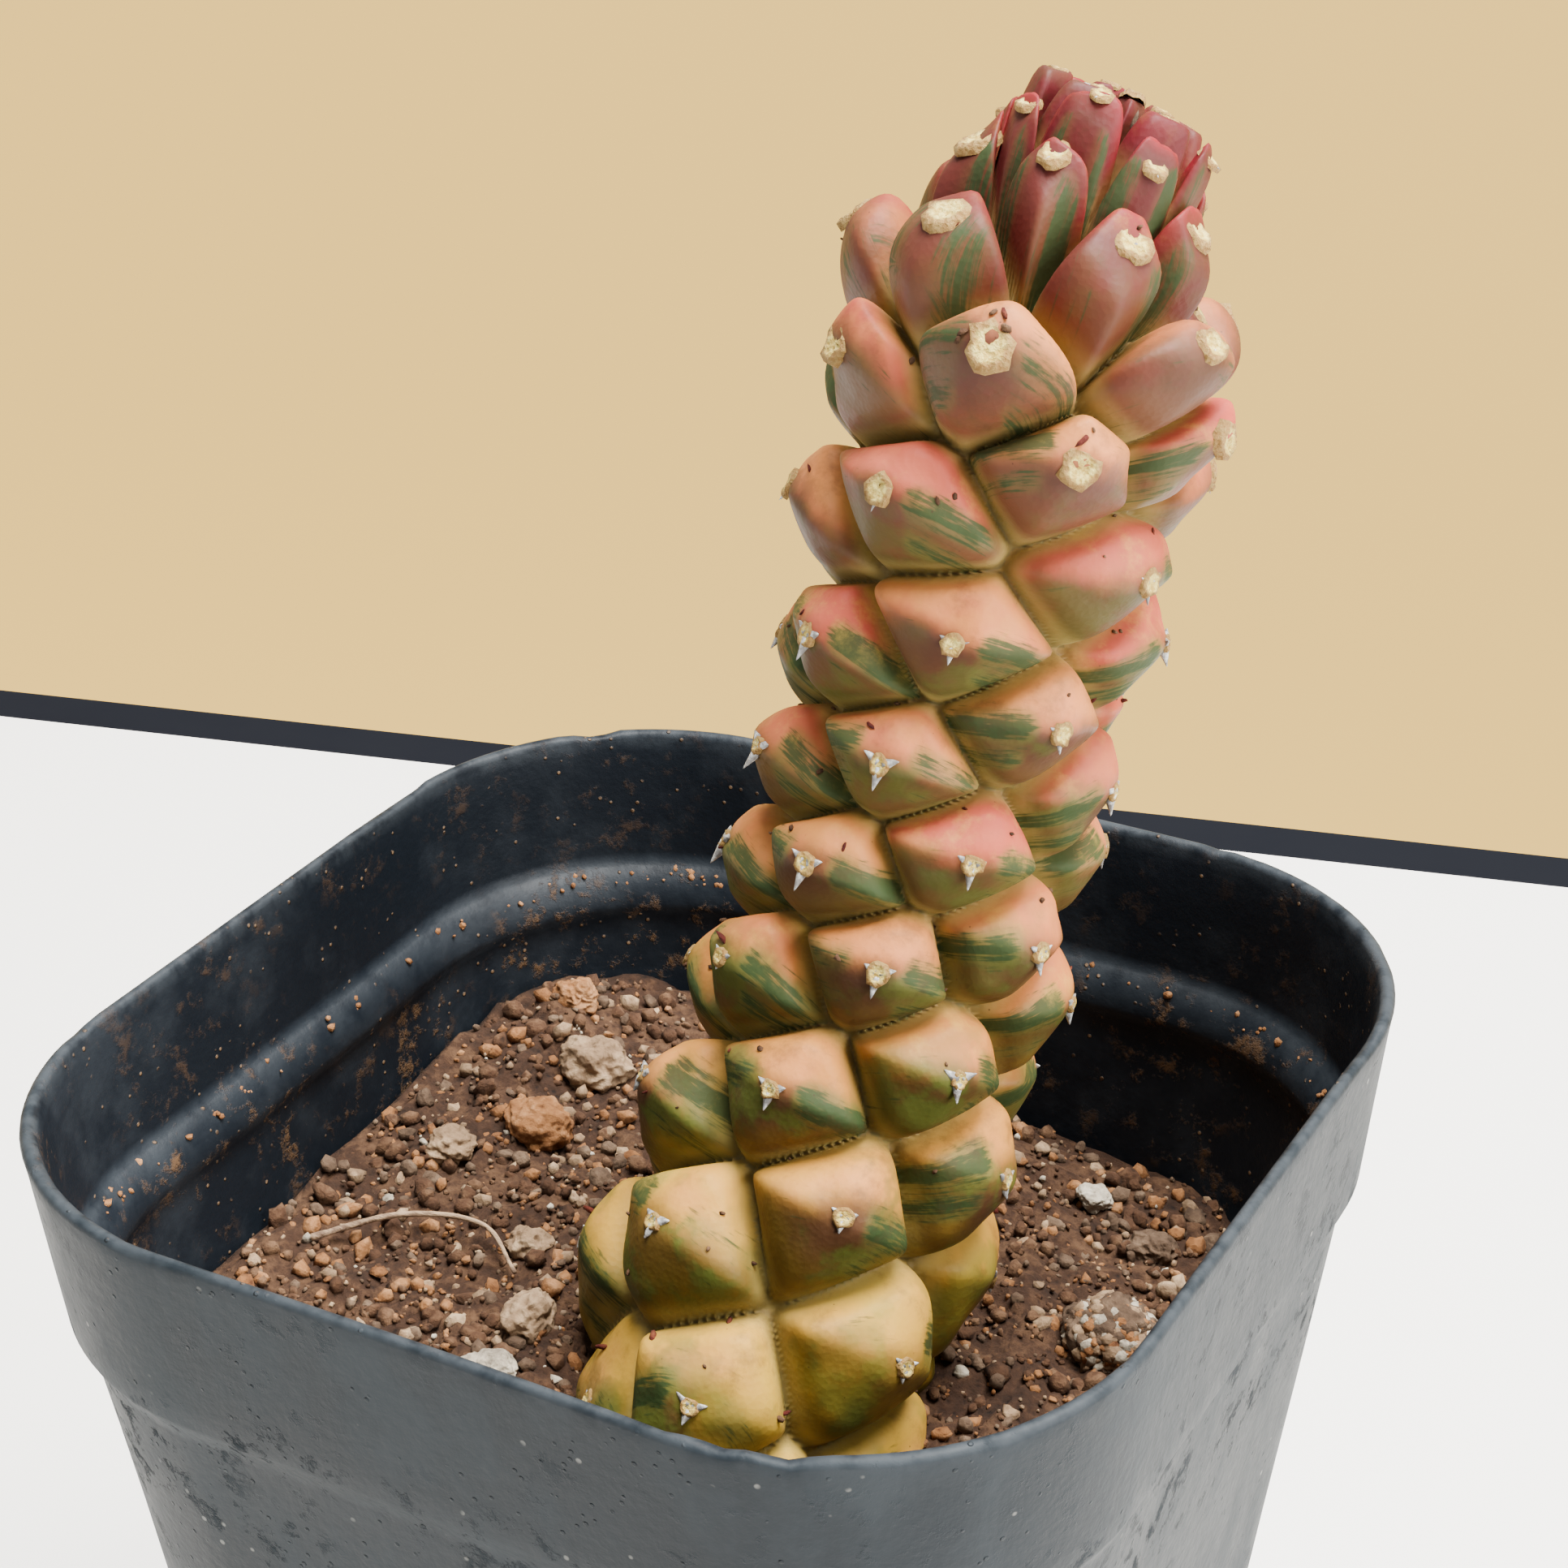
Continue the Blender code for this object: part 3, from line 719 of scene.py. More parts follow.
@dataclass
class Stem:
    """The fleshy stem: tubercles on a spiral lattice round a leaning axis, and their scars and spines."""

    rim_z: float = 80 * MM
    axis: tuple = (
        (4.0 * MM, -7.6 * MM, -21.4 * MM),
        (9.6 * MM, 13.8 * MM, 10.5 * MM),
        (11.0 * MM, 6.5 * MM, 33.3 * MM),
        (17.1 * MM, 15.8 * MM, 54.7 * MM),
    )
    first_node: int = -46
    soil_node: int = -36
    top_node: int = 42
    last_node: int = 50
    divergence: float = math.radians(137.442)
    start_angle: float = math.radians(276.52)
    crown_pitch: float = 0.0075
    crown_sink: float = 0.1
    node_height: Knots = ((0.0, 0.0), (0.25, 0.283), (0.5, 0.534), (0.75, 0.852), (1.0, 1.0))
    extra_twist: Knots = (
        (0.0, 0.0),
        (0.15, math.radians(0.9)),
        (0.45, math.radians(0.6)),
        (0.6, math.radians(-2.3)),
        (0.75, math.radians(-3.3)),
        (0.85, math.radians(-1.8)),
        (0.93, math.radians(1.4)),
        (1.0, math.radians(-4.8)),
    )
    areole_radius: Knots = (
        (-0.25, 5.5 * MM),
        (-0.1, 9.5 * MM),
        (0.0, 12.25 * MM),
        (0.25, 12.06 * MM),
        (0.5, 11.34 * MM),
        (0.75, 12.24 * MM),
        (0.86, 12.11 * MM),
        (0.93, 7.0 * MM),
        (1.0, 4.9 * MM),
        (1.06, 1.0 * MM),
    )
    rise: Knots = (
        (-0.25, 0.6 * MM),
        (-0.1, 2.2 * MM),
        (0.0, 4.0 * MM),
        (0.5, 4.6 * MM),
        (0.8, 5.6 * MM),
        (0.93, 7.0 * MM),
        (1.06, 5.0 * MM),
    )
    tilt: Knots = (
        (-0.25, 0.0),
        (0.0, math.radians(8)),
        (0.5, math.radians(18)),
        (0.8, math.radians(34)),
        (0.9, math.radians(60)),
        (0.96, math.radians(82)),
        (1.06, math.radians(90)),
    )
    askew: dict = field(
        default_factory=lambda: {
            -34: (-1.0, -1.3 * MM),
            -26: (-1.1, 0.6 * MM),
            -19: (4.8, 0.1 * MM),
            -10: (-1.4, -0.7 * MM),
            -8: (3.0, 0.1 * MM),
            -3: (2.5, 0.0),
            -2: (4.5, 0.6 * MM),
            3: (-0.6, 0.6 * MM),
            6: (0.6, 0.5 * MM),
            8: (-4.2, -0.8 * MM),
            16: (-1.3, 0.6 * MM),
            18: (2.1, -0.3 * MM),
            19: (-4.9, -1.1 * MM),
            24: (7.2, -0.3 * MM),
            26: (-2.0, 0.9 * MM),
            29: (10.5, 0.2 * MM),
            31: (-0.4, 1.4 * MM),
            37: (-0.3, 1.0 * MM),
            39: (1.1, -1.2 * MM),
            42: (-6.6, -1.5 * MM),
        }
    )
    stunted: dict = field(default_factory=lambda: {-37: 0.25, 27: 0.55})
    flatness: float = 1.36
    flat_up_to: float = 0.82
    foot_share: float = -0.1
    crown_share: float = 1.06
    columns: int = 260
    rows: int = 360
    softness: float = 0.05
    seed: int = 11

    def __post_init__(self) -> None:
        """Works out the lattice once."""
        points = self.frames(np.linspace(0, 1, 60))[0]
        self.length = float(np.linalg.norm(np.diff(points, axis=0), axis=1).sum())
        self.numbers = np.arange(self.first_node, self.last_node + 1)
        self._place_nodes()

    def frames(self, share: np.ndarray) -> tuple[np.ndarray, np.ndarray, np.ndarray, np.ndarray]:
        """Reads the axis at shares of its length; it runs on straight past both ends.

        Args:
            share: Shares of the length, 0 at the soil and 1 at the crown.

        Returns:
            Points, tangents, and two directions across.
        """
        a, b, c, d = (np.array(point) for point in self.axis)
        t = np.clip(share, 0, 1)[:, None]
        point = (1 - t) ** 3 * a + 3 * (1 - t) ** 2 * t * b + 3 * (1 - t) * t**2 * c + t**3 * d
        slope = 3 * ((1 - t) ** 2 * (b - a) + 2 * (1 - t) * t * (c - b) + t**2 * (d - c))
        point = point + (share[:, None] - t) * slope + np.array((0, 0, self.rim_z))
        tangent = slope / np.linalg.norm(slope, axis=1, keepdims=True)
        first = np.array((1.0, 0, 0)) - tangent[:, :1] * tangent
        first = first / np.linalg.norm(first, axis=1, keepdims=True)
        return point, tangent, first, np.cross(tangent, first)

    def base(self, share: np.ndarray) -> tuple[np.ndarray, np.ndarray]:
        """Radius and height of the groove surface that the tubercles stand on.

        Args:
            share: Places along the stem, 0 at the soil and 1 at the crown.

        Returns:
            Radii and heights of the groove surface.
        """
        rise = smooth_value(self.rise, share)
        tilt = smooth_value(self.tilt, share)
        radius = smooth_value(self.areole_radius, share) - rise * np.cos(tilt)
        level = np.minimum(share, 1 + self.crown_sink * (share - 1)) * self.length
        return np.maximum(radius, 0.0), level - rise * np.sin(tilt)

    def _place_nodes(self) -> None:
        """Finds the middle and the angle of every tubercle where the axis is straight."""
        ks = self.numbers
        share = smooth_value(self.node_height, (ks - self.soil_node) / (self.top_node - self.soil_node))
        low_pitch = self.node_height[1][1] * 4 / (self.top_node - self.soil_node)
        share = np.where(ks < self.soil_node, (ks - self.soil_node) * low_pitch, share)
        share = np.where(ks > self.top_node, 1 + (ks - self.top_node) * self.crown_pitch, share)
        angle = self.start_angle + self.divergence * ks + smooth_value(self.extra_twist, share)
        radius, height = self.base(share)
        rise = smooth_value(self.rise, share)
        tilt = smooth_value(self.tilt, share)
        for node, (degrees, climb) in self.askew.items():
            angle[node - self.first_node] += math.radians(degrees)
            height[node - self.first_node] += climb
        self.node_share = share
        self.node_angle = angle
        self.node_radius = radius
        self.node_level = height
        self.nodes = self.flattened(on_circle(radius + 0.5 * rise * np.cos(tilt), height, angle))
        self.vigour = np.ones(len(ks))
        for node, kept in self.stunted.items():
            self.vigour[node - self.first_node] = kept
        self.tip_radius = radius + self.vigour * rise * np.cos(tilt)
        self.tip_level = height + self.vigour * rise * np.sin(tilt)

    def flattened(self, points: np.ndarray) -> np.ndarray:
        """Stretches heights below the crown, so that cells there come out wide and low.

        Args:
            points: Points round the straight axis, one a row.

        Returns:
            The stretched points.
        """
        turn = self.flat_up_to * self.length
        height = points[:, 2]
        stretched = self.flatness * np.minimum(height, turn) + np.maximum(height - turn, 0)
        return np.column_stack((points[:, :2], stretched))

    def bend(self, radius: np.ndarray, height: np.ndarray, angle: np.ndarray) -> np.ndarray:
        """Moves points from round a straight axis to round the leaning one.

        Args:
            radius: Distances from the axis.
            height: Heights along the straight axis.
            angle: Angles round the axis, in radians.

        Returns:
            The moved points, one a row.
        """
        place, _, first, second = self.frames(height / self.length)
        around = np.cos(angle)[:, None] * first + np.sin(angle)[:, None] * second
        return place + radius[:, None] * around

    def cell(self, points: np.ndarray) -> tuple[np.ndarray, np.ndarray]:
        """Finds each point's own tubercle and how far up it the point is.

        Args:
            points: Places round the straight axis.

        Returns:
            The tubercle's index, and a share: 0 in the groove, 1 at the middle.
        """
        gaps = ((points[:, None] - self.nodes[None]) ** 2).sum(axis=2)
        nearest = gaps.argmin(axis=1)
        own = self.nodes[nearest]
        apart = ((own[:, None] - self.nodes[None]) ** 2).sum(axis=2)
        rows = np.arange(len(points))
        share = (gaps - gaps[rows, nearest][:, None]) / np.maximum(apart, 1e-12)
        share[rows, nearest] = 9.0
        soft = -self.softness * np.log(np.exp(-share / self.softness).sum(axis=1))
        return nearest, np.clip(soft / (1 - self.softness), 0, 1)

    def profile(self, share: np.ndarray, crown: np.ndarray) -> np.ndarray:
        """A plump pillow at the groove, a low pyramid at the top, and fuller fingers at the crown.

        Args:
            share: How far each point is up its own tubercle.
            crown: How far each point is into the crown, 0 to 1.

        Returns:
            Shares of a tubercle's full rise.
        """
        pillow = 1 - (1 - np.minimum(share / 0.34, 1)) ** 2.1
        finger = 1 - (1 - np.minimum(share / 0.62, 1)) ** 2.6
        body = 0.42 * pillow + 0.58 * share
        return body * (1 - crown) + finger * crown

    def _marks(self, index: np.ndarray, angle: np.ndarray, height: np.ndarray, crown: np.ndarray) -> dict:
        """Works out the pattern's attributes from each point's place in its own cell.

        Args:
            index: Each point's tubercle.
            angle: Each point's angle.
            height: Each point's height on the groove surface.
            crown: 0 on the stem, rising to 1 on the crown's fingers.

        Returns:
            Attribute names and values.
        """
        luck = np.random.default_rng(self.seed)
        sides = luck.uniform(0.0, 1.0, (len(self.numbers), 2))
        favoured = luck.integers(0, 2, len(self.numbers))
        sides[np.arange(len(self.numbers)), favoured] = luck.uniform(0.9, 1.15, len(self.numbers))
        second = luck.uniform(0.2, 0.95, len(self.numbers))
        blush = luck.uniform(0.0, 1.0, len(self.numbers))
        turn = (angle - self.node_angle[index] + math.pi) % (2 * math.pi) - math.pi
        across = turn * (self.node_radius[index] + 2 * MM) / MM
        up = (height - self.node_level[index]) / MM
        side = np.where(across > 0, sides[index, 0], sides[index, 1])
        reach = np.abs(across)
        bend = luck.uniform(0.02, 0.08, len(self.numbers))[index]
        offset = luck.uniform(-0.4, 1.7, len(self.numbers))[index]
        sweep = up + bend * reach**2 - offset
        brush = np.exp(-((sweep / (1.25 - 0.08 * reach)) ** 2))
        brush = brush + second[index] * np.exp(-(((sweep + 2.4) / 0.8) ** 2))
        brush = brush * soft_step(reach, 0.7, 1.8) * (1 - soft_step(reach, 4.6, 6.8))
        length = soft_step(-up, 0.0, 1.0) * (1 - soft_step(-up, 4.5, 8.5))
        finger = np.exp(-(((reach - 1.8) / 0.95) ** 2)) * length
        streak = side * (brush * (1 - crown) + finger * crown)
        return {
            "cell_up": np.clip(up / 4.2, -1, 1),
            "streak": streak,
            "blush": blush[index],
            "run": np.where(crown > 0.5, -up, reach),
            "sweep": np.where(crown > 0.5, across, sweep),
        }

    def _wobble(self, points: np.ndarray) -> np.ndarray:
        """Soft unevenness of the flesh, a few tenths of a millimetre.

        Args:
            points: Points round the straight axis, one a row.

        Returns:
            Heights to add, in metres.
        """
        broad = np.array([noise.noise(Vector(point) * 210) for point in points])
        narrow = np.array([noise.noise(Vector(point) * 620) for point in points])
        return (broad * 0.55 + narrow * 0.16) * MM

    def build(self, finish: bpy.types.Material) -> bpy.types.Object:
        """Builds the stem's skin with its pattern attributes.

        Args:
            finish: The skin material.

        Returns:
            The piece.
        """
        shares = np.linspace(self.foot_share, self.crown_share, self.rows)
        angles = np.arange(self.columns) * 2 * math.pi / self.columns
        share, angle = (grid.ravel() for grid in np.meshgrid(shares, angles, indexing="ij"))
        rise = smooth_value(self.rise, share)
        tilt = smooth_value(self.tilt, share)
        crown = soft_step(share, 0.80, 0.93)
        radius, level = self.base(share)
        middle = on_circle(radius + 0.5 * rise * np.cos(tilt), level, angle)
        index = np.empty(len(middle), int)
        own_share = np.empty(len(middle))
        for start in range(0, len(middle), 8000):
            part = slice(start, start + 8000)
            index[part], own_share[part] = self.cell(self.flattened(middle[part]))
        lift = rise * self.vigour[index] * self.profile(own_share, crown)
        lift = lift + self._wobble(middle) * (0.25 + own_share)
        points = self.bend(radius + lift * np.cos(tilt), level + lift * np.sin(tilt), angle)
        ends = (self.foot_share - 0.01, (level + lift * np.sin(tilt))[-1] / self.length)
        poles = self.frames(np.array(ends))[0]
        faces: list = grid_faces(self.rows, self.columns)
        low_pole = len(points)
        last = (self.rows - 1) * self.columns
        for j in range(self.columns):
            k = (j + 1) % self.columns
            faces.append((k, j, low_pole))
            faces.append((last + j, last + k, low_pole + 1))
        stem = mesh_object("stem_skin", np.vstack((points, poles)), faces, finish)
        marks = self._marks(index, angle, level, crown)
        marks["along"] = share
        marks["cell_share"] = own_share
        for name, values in marks.items():
            set_attribute(stem, name, np.append(values, (values[0], values[-1])))
        return stem

    def tips(self, surface: BVHTree) -> list[tuple[int, Vector, Vector, Vector]]:
        """Finds where each areole sits on the skin.

        Args:
            surface: The skin.

        Returns:
            For each tubercle above the soil: its number, place, outward direction and up direction.
        """
        found = []
        centre = self.bend(self.tip_radius, self.tip_level, self.node_angle)
        root = self.bend(self.node_radius, self.node_level, self.node_angle)
        tangent = self.frames(self.tip_level / self.length)[1]
        for i, number in enumerate(self.numbers):
            out = Vector(centre[i] - root[i]).normalized()
            hit = surface.ray_cast(Vector(centre[i]) + out * 3 * MM, -out, 9 * MM)
            if hit[0] is None or number < self.soil_node - 2:
                continue
            found.append((int(number), hit[0], (out * 0.6 + hit[1] * 0.4).normalized(), Vector(tangent[i])))
        return found


@dataclass
class LeafScars:
    """A scar on every tubercle: crusty discs above, small ones in white spine shields below."""

    sectors: int = 14
    rings: int = 5
    seed: int = 5

    def disc(self, luck: np.random.Generator) -> tuple[np.ndarray, list, np.ndarray]:
        """Shapes one scar of radius 1: a domed crumbly disc with a raised lip.

        Args:
            luck: Random numbers.

        Returns:
            Its points, faces and how near its edge each point is.
        """
        points = [(0.0, 0.0, 0.10)]
        ring_values = [0.0]
        wobble = 1 + 0.10 * luck.standard_normal(self.sectors)
        for ring in range(1, self.rings + 1):
            reach = ring / (self.rings - 1)
            for sector in range(self.sectors):
                angle = sector * 2 * math.pi / self.sectors
                radius = min(reach, 1.0) * (1 + (wobble[sector] - 1) * min(reach, 1.0))
                collar = 0.16 * math.exp(-(((reach - 0.72) / 0.2) ** 2))
                height = 0.10 + collar + 0.05 * luck.standard_normal()
                if ring == self.rings:
                    radius, height = radius * 1.04, -0.35
                points.append((radius * math.cos(angle), radius * math.sin(angle), height))
                ring_values.append(min(reach, 1.0))
        faces: list = []
        for sector in range(self.sectors):
            faces.append((0, 1 + sector, 1 + (sector + 1) % self.sectors))
        for lower in grid_faces(self.rings, self.sectors, 1):
            faces.append(lower[::-1])
        return np.array(points), faces, np.array(ring_values)

    def build(
        self, tips: Sequence[tuple[int, Vector, Vector, Vector]], cork: bpy.types.Material
    ) -> bpy.types.Object:
        """Sets a scar on every tip and joins them in one piece.

        Args:
            tips: The tubercles' tips.
            cork: The scar material.

        Returns:
            The piece.
        """
        luck = np.random.default_rng(self.seed)
        points: list = []
        faces: list = []
        rings: list = []
        for number, place, out, up in tips:
            young = ramp(number, 6, 20)
            size = (0.60 + 0.60 * young) * MM * luck.uniform(0.88, 1.12)
            if number > 28:
                size *= 1 - 0.45 * ramp(number, 28, 42)
            shape, shape_faces, near_edge = self.disc(luck)
            side = up.cross(out).normalized()
            rise = out.cross(side)
            turn = np.array((side, rise, out))
            stretch = np.array((size, size * luck.uniform(0.85, 1.2), size * 0.9))
            first = sum(len(part) for part in points)
            points.append((shape * stretch) @ turn + np.array(place + out * (0.16 * (1 - young) - 0.06) * MM))
            faces.extend(tuple(first + i for i in face) for face in shape_faces)
            rings.append(near_edge)
        scars = mesh_object("leaf_scars", np.vstack(points), faces, cork)
        set_attribute(scars, "ring", np.concatenate(rings))
        return scars


@dataclass
class Spines:
    """White horn: a three-lobed shield under each lower scar, with short spines."""

    seed: int = 23
    sides: int = 6

    def _spike(
        self, root: np.ndarray, way: np.ndarray, length: float, width: float
    ) -> tuple[np.ndarray, list]:
        """A tapering spine from its root.

        Args:
            root: Where it stands.
            way: Which way it points.
            length: Its length in metres.
            width: Its width at the root in metres.

        Returns:
            Its points and its faces.
        """
        way = way / np.linalg.norm(way)
        across = np.cross(way, (0.31, 0.77, 0.55))
        across = across / np.linalg.norm(across)
        third = np.cross(way, across)
        points = []
        for reach, thick in ((-0.15, 1.0), (0.25, 0.72), (0.6, 0.4), (0.88, 0.16)):
            for side in range(self.sides):
                angle = side * 2 * math.pi / self.sides
                spoke = math.cos(angle) * across + math.sin(angle) * third
                points.append(root + way * reach * length + spoke * width * thick)
        points.append(root + way * length)
        points.append(root - way * 0.2 * length)
        faces: list = grid_faces(4, self.sides)
        tip = len(points) - 2
        for side in range(self.sides):
            follow = (side + 1) % self.sides
            faces.append((3 * self.sides + side, 3 * self.sides + follow, tip))
            faces.append((follow, side, tip + 1))
        return np.array(points), faces

    def build(
        self, tips: Sequence[tuple[int, Vector, Vector, Vector]], horn: bpy.types.Material
    ) -> bpy.types.Object:
        """Sets shields and spines round every scar and joins them in one piece.

        Args:
            tips: The tubercles' tips.
            horn: The spine material.

        Returns:
            The piece.
        """
        luck = np.random.default_rng(self.seed)
        points: list = []
        faces: list = []
        for number, place, out, up in tips:
            side = up.cross(out).normalized()
            rise = out.cross(side)
            young = ramp(number, 6, 16)
            size = (0.88 - 0.30 * young) * MM * luck.uniform(0.80, 1.15)
            lobes = ((-0.86, 0.42, 0.8), (0.86, 0.42, 0.8), (0.0, -1.0, 1.25 if number > -14 else 0.9))
            for x, y, reach in lobes:
                if young > 0.6 and luck.random() < 0.5:
                    continue
                flat = side * x + rise * y
                root = np.array(place + flat * 0.42 * size - out * 0.10 * MM)
                way = np.array(flat + out * luck.uniform(0.10, 0.35))
                length = size * reach * luck.uniform(0.8, 1.25)
                width = 0.42 * size * (1 - 0.4 * young)
                shape, shape_faces = self._spike(root, way, length, width)
                first = sum(len(part) for part in points)
                points.append(shape)
                faces.extend(tuple(first + i for i in face) for face in shape_faces)
        return mesh_object("spines", np.vstack(points), faces, horn)


# --- Pot -----------------------------------------------------------------------------


@dataclass
class Pot:
    """Square nursery pot with round corners, a collar, an inner ledge and drain holes."""

    height: float = 80 * MM
    rim_half: float = 35 * MM
    collar_foot_half: float = 33.85 * MM
    collar_depth: float = 12.25 * MM
    step_depth: float = 13.9 * MM
    body_top_half: float = 33.0 * MM
    base_half: float = 24.4 * MM
    corner_share: float = 0.531
    wall: float = 0.8 * MM
    floor: float = 1.2 * MM
    foot_round: float = 1.5 * MM
    ledge_depth: float = 9.9 * MM
    ledge_width: float = 1.1 * MM
    ledge_fall: float = 1.2 * MM
    ledge_foot: float = 12.8 * MM
    mouth_inset: float = 0.25 * MM
    mouth_depth: float = 1.3 * MM
    drain_radius: float = 4.0 * MM
    drain_offset: float = 14.0 * MM
    corner_points: int = 26
    side_points: int = 10

    def outline(self) -> np.ndarray:
        """Points of a rounded square of half width 1, counter-clockwise from +X.

        Returns:
            The points, one a row.
        """
        middle = 1 - self.corner_share
        points = []
        for corner in range(4):
            turn = corner * math.pi / 2
            cx = middle * math.copysign(1, math.cos(turn + math.pi / 4))
            cy = middle * math.copysign(1, math.sin(turn + math.pi / 4))
            for step in range(self.corner_points + 1):
                angle = turn + step * math.pi / 2 / self.corner_points
                across = self.corner_share * math.cos(angle)
                points.append((cx + across, cy + self.corner_share * math.sin(angle)))
            start = np.array(points[-1])
            follow = turn + math.pi / 2
            nx = middle * math.copysign(1, math.cos(follow + math.pi / 4))
            ny = middle * math.copysign(1, math.sin(follow + math.pi / 4))
            across = self.corner_share * math.cos(follow)
            end = np.array((nx + across, ny + self.corner_share * math.sin(follow)))
            for step in range(1, self.side_points):
                points.append(tuple(start + (end - start) * step / self.side_points))
        return np.array(points)

    def body_half(self, depth: float) -> float:
        """Outer half width of the tapered body."""
        share = (depth - self.step_depth) / (self.height - self.step_depth)
        return self.body_top_half + share * (self.base_half - self.body_top_half)

    def collar_half(self, depth: float) -> float:
        """Outer half width of the collar."""
        return self.rim_half + depth / self.collar_depth * (self.collar_foot_half - self.rim_half)

    def inner_half(self, depth: float) -> float:
        """Half width inside, below the ledge."""
        return self.body_half(max(depth, self.step_depth)) - self.wall

    def _profile(self) -> list[tuple[float, float]]:
        """Half widths and heights from the underside, up the outside, over the rim and down inside.

        Returns:
            Pairs of half width and height.
        """
        top = self.height
        profile = [(self.base_half * share, 0.0) for share in (0.25, 0.5, 0.75)]
        foot = self.base_half - self.foot_round
        for step in range(5):
            angle = math.radians(-90 + 18 * step)
            out = foot + self.foot_round * math.cos(angle)
            profile.append((out, self.foot_round + self.foot_round * math.sin(angle)))
        for depth in np.linspace(top - self.foot_round, self.step_depth + 0.3 * MM, 12):
            profile.append((self.body_half(float(depth)), top - float(depth)))
        profile.append((self.body_top_half + 0.10 * MM, top - self.step_depth + 0.25 * MM))
        profile.append((self.collar_foot_half - 0.15 * MM, top - self.collar_depth - 0.3 * MM))
        for depth in np.linspace(self.collar_depth - 0.1 * MM, 1.4 * MM, 7):
            profile.append((self.collar_half(float(depth)), top - float(depth)))
        lip = 0.42 * MM
        for step in range(7):
            angle = math.radians(180 / 6 * step)
            out = self.rim_half - lip + lip * math.cos(angle)
            profile.append((out, top - lip + lip * math.sin(angle)))
        mouth = self.rim_half - self.wall - self.mouth_inset
        profile.append((mouth, top - self.mouth_depth))
        shelf = self.collar_half(self.ledge_depth) - self.wall
        for share in (0.3, 0.6, 0.9, 1.0):
            drop = share * (self.ledge_depth - self.mouth_depth)
            profile.append((mouth + share * (shelf - mouth), top - self.mouth_depth - drop))
        profile.append((shelf - 0.35 * MM, top - self.ledge_depth - 0.1 * MM))
        profile.append((shelf - self.ledge_width, top - self.ledge_depth - self.ledge_fall))
        low = self.inner_half(self.ledge_foot)
        profile.append((low - 0.45 * MM, top - self.ledge_foot + 0.5 * MM))
        profile.append((low - 0.40 * MM, top - self.ledge_foot))
        profile.append((low - 0.05 * MM, top - self.ledge_foot - 0.7 * MM))
        for depth in np.linspace(self.step_depth + 1 * MM, top - self.floor, 8):
            profile.append((self.inner_half(float(depth)), top - float(depth)))
        profile.extend((self.inner_half(top - self.floor) * share, self.floor) for share in (0.7, 0.4))
        return profile

    def _wear(self, points: np.ndarray) -> np.ndarray:
        """Bends the walls by a few tenths of a millimetre and nicks the rim, as on a used pot.

        Args:
            points: Points of the plain pot.

        Returns:
            The worn points.
        """
        worn = points.copy()
        for i, point in enumerate(points):
            place = Vector(point)
            high = ramp(place.z, 0.2 * self.height, self.height)
            sway = noise.noise(place * 45) * 0.30 * MM * high
            out = Vector((place.x, place.y, 0)).normalized()
            nick = 0.0
            if place.z > self.height - 0.5 * MM:
                nick = max(noise.noise(place * 420) - 0.25, 0.0) * 0.9 * MM
            worn[i] = place - out * (abs(sway) + nick * 0.4) - Vector((0, 0, nick))
        return worn

    def half_at(self, points: np.ndarray) -> np.ndarray:
        """Half width of the rounded square that each point lies on.

        Args:
            points: Points of the pot.

        Returns:
            The half widths.
        """
        wide = np.abs(points[:, :2]).max(axis=1)
        narrow = np.abs(points[:, :2]).min(axis=1)
        m = 1 - self.corner_share
        a = 2 * m**2 - self.corner_share**2
        b = -2 * m * (wide + narrow)
        c = wide**2 + narrow**2
        root = np.sqrt(np.maximum(b**2 - 4 * a * c, 0))
        round_half = (-b + root) / (2 * a)
        round_half = np.where(round_half * m <= narrow + 1e-9, round_half, (-b - root) / (2 * a))
        return np.where(narrow <= m * wide, wide, np.maximum(round_half, wide))

    def build(self, plastic: bpy.types.Material) -> bpy.types.Object:
        """Builds the worn pot, drills it and stores where its inside and its edges are.

        Args:
            plastic: The pot material.

        Returns:
            The piece.
        """
        outline = self.outline()
        rings = [np.column_stack((outline * half, np.full(len(outline), z))) for half, z in self._profile()]
        points = np.vstack(rings)
        columns = len(outline)
        faces: list = grid_faces(len(rings), columns)
        faces.append(tuple(range(columns))[::-1])
        faces.append(tuple(range(len(points) - columns, len(points))))
        pot = mesh_object("pot_shell", self._wear(points), faces, plastic)
        drills = []
        for corner in range(4):
            angle = math.radians(45 + 90 * corner)
            place = (self.drain_offset * math.cos(angle), self.drain_offset * math.sin(angle), 0)
            bpy.ops.mesh.primitive_cylinder_add(
                vertices=32, radius=self.drain_radius, depth=6 * self.floor, location=place
            )
            drills.append(bpy.context.view_layer.objects.active)
        for drill in drills:
            apply_modifier(pot, "BOOLEAN", operation="DIFFERENCE", solver="EXACT", object=drill)
            bpy.data.objects.remove(drill, do_unlink=True)
        self._store_places(pot)
        return pot

    def _store_places(self, pot: bpy.types.Object) -> None:
        """Stores the inside, the edges (worn rim and painted highlight along the inner ledge) and the depth
        below the rim at each point.

        Args:
            pot: The finished pot.
        """
        points = np.array([tuple(vertex.co) for vertex in pot.data.vertices])
        depth = self.height - points[:, 2]
        outer = np.array([self.collar_half(d) if d < self.collar_depth else self.body_half(d) for d in depth])
        half = self.half_at(points)
        inner = (half < outer - 0.6 * self.wall) & (points[:, 2] > 0.5 * self.floor)
        edge = np.maximum(1 - depth / (1.0 * MM), 0)
        shelf = np.exp(-(((depth - self.ledge_depth - 0.5 * MM) / (0.7 * MM)) ** 2))
        foot = np.exp(-(((depth - self.ledge_foot) / (0.4 * MM)) ** 2))
